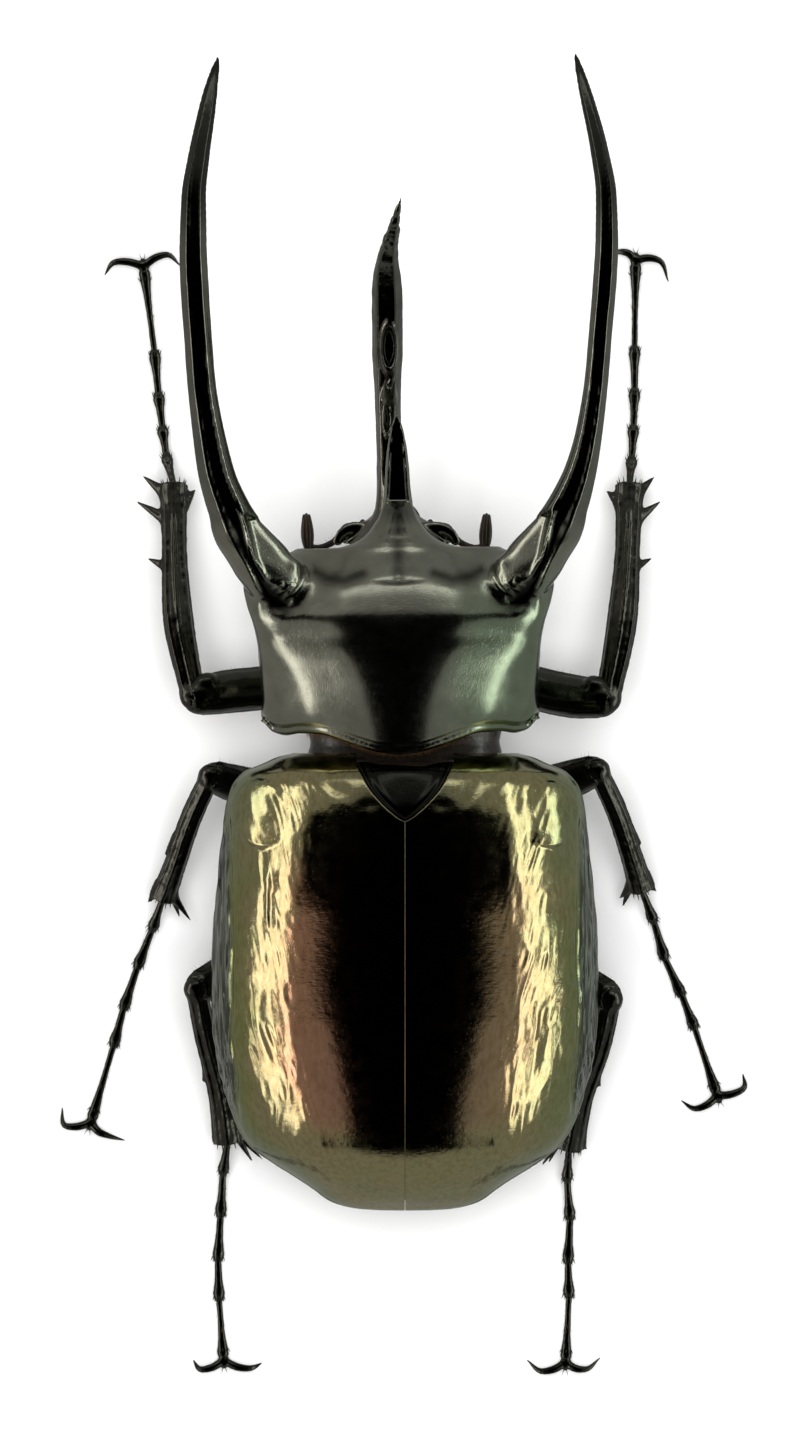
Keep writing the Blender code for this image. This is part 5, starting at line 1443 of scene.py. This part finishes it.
def ramp(tree, value, stops):
    """Colours along a value, from pairs of place and colour."""
    made = add(tree, "ShaderNodeValToRGB", {"Fac": value})
    band = made.color_ramp
    while len(band.elements) < len(stops):
        band.elements.new(0.5)
    for element, (at, colour) in zip(band.elements, stops):
        element.position = at
        element.color = (*colour, 1)
    return made.outputs["Color"]


def spread(tree, value, low, high, to_low, to_high):
    """A value taken from one range to another."""
    inputs = {"Value": value, 1: low, 2: high, 3: to_low, 4: to_high}
    return add(tree, "ShaderNodeMapRange", inputs).outputs["Result"]


def patchy(tree, place, scale, low, high, detail=3.0):
    """Cloudy values between two, with grains per millimetre as asked."""
    return spread(tree, speckle(tree, place, scale, detail), 0.3, 0.7, low, high)


def pitted(tree, place, scale, edge):
    """0 in the middle of round pits that are scattered evenly, 1 from their edge on."""
    pits = add(tree, "ShaderNodeTexVoronoi", {"Vector": place, "Scale": scale}).outputs["Distance"]
    return spread(tree, pits, 0.0, edge, 0.0, 1.0)


def blended(tree, share, first, second, kind="MIX"):
    """One colour over another by a share."""
    made = add(tree, "ShaderNodeMix", data_type="RGBA", blend_type=kind)
    for socket, value in ((made.inputs[0], share), (made.inputs[6], first), (made.inputs[7], second)):
        if isinstance(value, bpy.types.NodeSocket):
            tree.links.new(value, socket)
        else:
            socket.default_value = value if isinstance(value, float) else (*value, 1)
    return made.outputs[2]


def link_shader(tree, shader, colour, rough, height, depth, strength):
    """Links colour, roughness and fine relief, its depth in millimetres, to the shader."""
    bump = add(tree, "ShaderNodeBump", {"Height": height, "Distance": depth * MM, "Strength": strength})
    for name, socket in (("Base Color", colour), ("Roughness", rough), ("Normal", bump.outputs["Normal"])):
        tree.links.new(socket, shader.inputs[name])


def stored(tree, name):
    """A value that was stored on the mesh's points."""
    return add(tree, "ShaderNodeAttribute", attribute_name=name).outputs["Fac"]


def store(piece, name, values):
    """Stores one value per point for the surface to read."""
    made = piece.data.attributes.new(name, "FLOAT", "POINT")
    made.data.foreach_set("value", np.asarray(values, np.float32))


# Colours from the seam, 0, to the margin, 1, of a wing case
COPPER = [
    (0.0, (0.24, 0.15, 0.10)),
    (0.40, (0.46, 0.26, 0.17)),
    (0.56, (0.54, 0.31, 0.19)),
    (0.66, (0.49, 0.38, 0.20)),
    (0.76, (0.43, 0.38, 0.21)),
    (0.88, (0.33, 0.36, 0.14)),
    (1.0, (0.30, 0.36, 0.21)),
]
OLIVE = [
    (0.0, (0.20, 0.20, 0.13)),
    (0.50, (0.40, 0.37, 0.20)),
    (0.72, (0.44, 0.40, 0.21)),
    (1.0, (0.30, 0.36, 0.20)),
]
# Colours of the strip outside its groove, by a streaky noise: its greenish grey with painted reflection,
# black and pale streaks
MARGIN_REFLECTION_STREAKS = [
    (0.0, (0.040, 0.044, 0.034)),
    (0.46, (0.11, 0.125, 0.095)),
    (0.56, (0.42, 0.46, 0.38)),
    (0.62, (0.05, 0.055, 0.045)),
    (1.0, (0.16, 0.19, 0.12)),
]


def case_surface():
    """The wing cases: metallic, copper beside the black middle, olive gold outside it and greenish grey
    at the margin, with painted streaks of reflection on the strip outside the groove."""
    material, tree, shader, place = surface("wing_case", Metallic=1.0)
    across = math_node(tree, "ADD", stored(tree, "across"), patchy(tree, place, 0.22, -0.07, 0.07))
    colour = blended(tree, stored(tree, "red"), ramp(tree, across, OLIVE), ramp(tree, across, COPPER))
    fleck = spread(tree, speckle(tree, place, 2.2, 4.0, (1.0, 0.4, 1.0)), 0.4, 0.7, 0.0, 0.8)
    colour = blended(tree, fleck, colour, (0.80, 0.72, 0.62), "MULTIPLY")
    reflection_streak = ramp(tree, speckle(tree, place, 0.9, 4.0, (2.6, 0.16, 1.4)), MARGIN_REFLECTION_STREAKS)
    # Painted reflection: black and pale streaks over the strip outside the groove
    colour = blended(tree, stored(tree, "strip"), colour, reflection_streak)
    height = math_node(tree, "ADD", pitted(tree, place, 2.8, 0.22), speckle(tree, place, 5.0))
    height = math_node(tree, "ADD", height, speckle(tree, place, 1.3, 3.0, (1.0, 4.0, 1.0)))
    link_shader(tree, shader, colour, patchy(tree, place, 0.8, 0.09, 0.16), height, 0.012, 0.5)
    return material


def shell_surface():
    """The shield: satin greenish black with fine punctures, polished black on the horns, a painted green tint
    of the light on its right side, and painted shade, near black, in the roots' valleys, ledge, front crease
    and horn tips.
    """
    material, tree, shader, place = surface("shield", Metallic=1.0)
    polish = stored(tree, "polish")
    mix = patchy(tree, place, 0.35, 0.0, 1.0)
    satin = blended(tree, mix, (0.25, 0.255, 0.205), (0.33, 0.335, 0.27))
    black = blended(tree, mix, (0.15, 0.155, 0.13), (0.21, 0.215, 0.175))
    colour = blended(tree, polish, satin, black)
    # Painted light: the shield's right side tinted green like the reflected light from that side
    colour = blended(tree, stored(tree, "painted_green_tint"), colour, (0.86, 1.0, 0.88), "MULTIPLY")
    # Painted shade: near black where the shell shows shade and the dark reflection from overhead
    colour = blended(tree, stored(tree, "painted_shade"), colour, (0.012, 0.012, 0.010))
    rough = spread(tree, polish, 0.0, 1.0, 0.18, 0.11)
    rough = math_node(tree, "ADD", rough, patchy(tree, place, 1.2, -0.02, 0.04))
    height = math_node(tree, "ADD", pitted(tree, place, 3.4, 0.25), speckle(tree, place, 6.0))
    link_shader(tree, shader, colour, rough, height, 0.02, spread(tree, polish, 0.0, 1.0, 0.45, 0.10))
    return material


def horny_surface(name, low, high, rough_low, rough_high, pit_scale, depth, shine):
    """A glossy horny surface in two near colours with fine pits."""
    material, tree, shader, place = surface(name, **shine)
    colour = blended(tree, patchy(tree, place, 0.5, 0.0, 1.0), low, high)
    rough = patchy(tree, place, 1.7, rough_low, rough_high, 4.0)
    fine = speckle(tree, place, pit_scale * 2.0)
    height = math_node(tree, "ADD", pitted(tree, place, pit_scale, 0.35), fine)
    link_shader(tree, shader, colour, rough, height, depth, 0.5)
    return material


METAL = {"Metallic": 1.0}
# Each horny surface: two near colours, lowest and highest roughness, pits per millimetre, depth of
# the relief in millimetres, and its shine
HORNY = {
    "polished_horn": ((0.14, 0.14, 0.12), (0.20, 0.20, 0.165), 0.10, 0.17, 3.0, 0.010, METAL),
    "scutellum": ((0.012, 0.012, 0.010), (0.020, 0.020, 0.017), 0.10, 0.16, 3.0, 0.010, METAL),
    "leg": ((0.050, 0.050, 0.042), (0.080, 0.080, 0.066), 0.14, 0.24, 2.4, 0.02, METAL),
    "underside": ((0.009, 0.007, 0.006), (0.020, 0.014, 0.010), 0.22, 0.38, 2.2, 0.03, {"Coat_Weight": 0.2}),
    "feeler": ((0.008, 0.006, 0.004), (0.024, 0.015, 0.010), 0.30, 0.5, 6.0, 0.02, {}),
    "eye": (
        (0.012, 0.008, 0.006), (0.030, 0.016, 0.010), 0.14, 0.22, 9.0, 0.006,
        {"Coat_Weight": 0.5, "Coat_Roughness": 0.1},
    ),
    "hair": ((0.10, 0.055, 0.022), (0.22, 0.12, 0.05), 0.4, 0.6, 8.0, 0.01, {}),
}


def surfaces():
    """Every surface of the animal by its name."""
    look = {"wing_case": case_surface(), "shield": shell_surface()}
    look.update((name, horny_surface(name, *sizes)) for name, sizes in HORNY.items())
    return look


# The floor, the light and the camera

FLOOR_HALF = 6.0
CAMERA_LENS = 600.0
CAMERA_SENSOR = 36.0
FRAME_TALL = 0.143
CAMERA_AIM = (0.0002, -0.0002, 0.015)
WALL_GLOW = 0.30
SIDE_WINDOW_GLOW = 2.4
FRONT_WINDOW_GLOW = 1.3
# The light's colour from the animal's right, 0, to its left, 1
LIGHT_TINTS = [(0.0, (0.95, 1.0, 0.94)), (0.5, (1.0, 1.0, 0.98)), (1.0, (1.0, 0.96, 0.92))]
SOFT_LAMP_HEIGHT = 1.6
SOFT_LAMP_SIZE = 1.3
SOFT_LAMP_WATTS = 38.0


def floor():
    mesh = bpy.data.meshes.new("floor")
    corners = [(x * FLOOR_HALF, y * FLOOR_HALF, 0) for x, y in ((-1, -1), (1, -1), (1, 1), (-1, 1))]
    mesh.from_pydata(corners, [], [[0, 1, 2, 3]])
    material, tree, shader, place = surface("floor", Roughness=0.9, Specular_IOR_Level=0.1)
    cloud = speckle(tree, place, 0.02, 2.0)
    tree.links.new(blended(tree, cloud, (0.88, 0.88, 0.88), (0.90, 0.90, 0.90)), shader.inputs["Base Color"])
    mesh.materials.append(material)
    made = bpy.data.objects.new("floor", mesh)
    made.visible_glossy = False
    bpy.context.scene.collection.objects.link(made)


def stepped(tree, value, low, high):
    """Rises smoothly from 0 to 1 as the value goes from low to high."""
    inputs = {"Value": value, 1: low, 2: high, 3: 0.0, 4: 1.0}
    return add(tree, "ShaderNodeMapRange", inputs, interpolation_type="SMOOTHSTEP").outputs["Result"]


def combined(tree, operation, *values):
    """Many values joined in turn by one operation."""
    made = values[0]
    for value in values[1:]:
        made = math_node(tree, operation, made, value)
    return made


def past(tree, value, edge, low, high):
    """Rises from 0 to 1 as the value goes past an edge."""
    return stepped(tree, combined(tree, "SUBTRACT", value, edge), low, high)


def outside_tent(tree, sideways, y, z):
    """0 in the dark tent overhead, which narrows to the rear, and 1 outside it."""
    front_edge = combined(
        tree, "ADD", spread(tree, y, -0.5, -0.3, 0.80, 0.64), spread(tree, y, 0.05, 0.4, 0.0, -0.50))
    half_tent = combined(
        tree, "ADD", spread(tree, y, 0.0, 0.14, 0.75, 0.60), spread(tree, y, 0.1, 0.95, 0.0, -0.285))
    past_side = past(tree, sideways, half_tent, -0.01, 0.04)
    past_side = combined(tree, "MULTIPLY", past_side, stepped(tree, y, 0.0, 0.06))
    return combined(tree, "MAXIMUM", past(tree, front_edge, z, -0.02, 0.08), past_side)


def side_windows(tree, sideways, y, z):
    """1 in a long window at each side and in a slit below it, behind the middle."""
    band = past(tree, z, spread(tree, y, 0.15, 0.6, 0.19, 0.03), 0.0, 0.05)
    band = combined(tree, "MULTIPLY", band, stepped(tree, z, 0.47, 0.41))
    slit = combined(
        tree, "MULTIPLY", stepped(tree, z, -0.01, 0.02), stepped(tree, z, 0.10, 0.06),
        stepped(tree, y, 0.02, 0.06), stepped(tree, y, 0.42, 0.34))
    beside = past(tree, sideways, spread(tree, y, 0.2, 0.6, 0.69, 0.745), 0.0, 0.09)
    return combined(tree, "MULTIPLY", combined(tree, "MAXIMUM", band, slit), beside)


def front_window(tree, y, z):
    """1 in a smaller window in front."""
    level = combined(tree, "SUBTRACT", 1.0001, combined(tree, "MULTIPLY", z, z))
    forward = combined(tree, "DIVIDE", combined(tree, "MULTIPLY", y, -1.0), math_node(tree, "SQRT", level))
    band = combined(tree, "MULTIPLY", stepped(tree, z, 0.42, 0.48), stepped(tree, z, 0.62, 0.56))
    return combined(tree, "MULTIPLY", band, stepped(tree, forward, 0.80, 0.90))


def studio_light():
    """A dark tent overhead, dim walls and bright windows."""
    world = bpy.data.worlds.new("studio")
    bpy.context.scene.world = world
    world.use_nodes = True
    tree = world.node_tree
    way = add(tree, "ShaderNodeTexCoord").outputs["Generated"]
    parts = add(tree, "ShaderNodeSeparateXYZ", {"Vector": way}).outputs
    x, y, z = parts["X"], parts["Y"], parts["Z"]
    sideways = math_node(tree, "ABSOLUTE", x)
    strength = combined(
        tree, "ADD",
        combined(tree, "MULTIPLY", outside_tent(tree, sideways, y, z), WALL_GLOW),
        combined(tree, "MULTIPLY", side_windows(tree, sideways, y, z), SIDE_WINDOW_GLOW),
        combined(tree, "MULTIPLY", front_window(tree, y, z), FRONT_WINDOW_GLOW),
    )
    tint = ramp(tree, spread(tree, x, -1.0, 1.0, 0.0, 1.0), LIGHT_TINTS)
    background = tree.nodes["Background"]
    tree.links.new(tint, background.inputs["Color"])
    tree.links.new(strength, background.inputs["Strength"])


def soft_lamp():
    """A soft lamp overhead that shows in no reflection."""
    lamp = bpy.data.lights.new("soft_lamp", "AREA")
    lamp.energy = SOFT_LAMP_WATTS
    lamp.size = SOFT_LAMP_SIZE
    made = bpy.data.objects.new("soft_lamp", lamp)
    made.location = (0, 0, SOFT_LAMP_HEIGHT)
    made.visible_glossy = False
    bpy.context.scene.collection.objects.link(made)


def camera():
    """Straight above the animal, its head at the top of the picture."""
    data = bpy.data.cameras.new("camera")
    data.lens = CAMERA_LENS
    data.sensor_width = CAMERA_SENSOR
    made = bpy.data.objects.new("camera", data)
    distance = FRAME_TALL / CAMERA_SENSOR * CAMERA_LENS
    made.location = (CAMERA_AIM[0], CAMERA_AIM[1], CAMERA_AIM[2] + distance)
    made.rotation_euler = (0, 0, math.pi)
    data.clip_start, data.clip_end = 0.1, 50.0
    bpy.context.scene.collection.objects.link(made)
    bpy.context.scene.camera = made


def points_of(piece):
    """A piece's points in millimetres."""
    flat = np.empty(len(piece.data.vertices) * 3, np.float32)
    piece.data.vertices.foreach_get("co", flat)
    return flat.reshape(-1, 3) / MM


# How far painted shade darkens the long horns' tips towards near black, standing in for their dark
# reflections
TIP_PAINTED_SHADE = 0.78
# The place across a wing case whose colour its rear end takes, and how red the case of each side is
REAR_COLOUR = 0.76
REDNESS = {1: 1.0, -1: 0.55}


def store_shell_values(shell):
    """Where the shield and its horns are polished, where the painted green tint of the right-hand light lies,
    and where painted shade darkens them.
    """
    x, y, z = points_of(shell).T
    store(shell, "polish", smoothstep(-18.2, -20.2, y + 0.35 * np.abs(x) * (np.abs(x) < 8)))
    # Painted light: a green tint on the shield's right side, the colour of the light that it reflects from
    # that side
    store(shell, "painted_green_tint", smoothstep(-2.0, -8.0, x) * smoothstep(-16.0, -9.0, y))
    across, along = in_prothorax(x, y)
    painted_root_shade = painted_shell_shade(np.abs(across), along) * smoothstep(18.0, 21.0, z)
    # Painted shade: near black in the roots' valleys, ledge and crease, and towards the long horns' tips
    store(shell, "painted_shade", np.maximum(painted_root_shade, TIP_PAINTED_SHADE * smoothstep(-46.0, -52.0, y)))


def store_case_values(case, side):
    """The place across a wing case, its marginal strip and its redness."""
    x, y, _ = points_of(case).T
    beside = np.abs(x - ELYTRA_AXIS_X)
    across = beside / profile(ELYTRA_HALF_WIDTH, y)
    inner = across < REAR_COLOUR
    store(case, "across", across + (REAR_COLOUR - across) * smoothstep(39.5, 43.0, y) * inner)
    store(case, "strip", outside_groove(beside, y, side))
    store(case, "red", REDNESS[side] * smoothstep(11.0, 19.0, y) * smoothstep(46.0, 38.0, y))


def build():
    look = surfaces()
    store_shell_values(prothorax(look))
    head(look)
    for name, side in (("elytron_left", 1), ("elytron_right", -1)):
        store_case_values(elytron(name, side, look), side)
    scutellum(look)
    hind_body(look)
    legs(look)
    body_hairs(look)


build()
floor()
studio_light()
soft_lamp()
camera()
bpy.context.scene.view_settings.view_transform = "Standard"
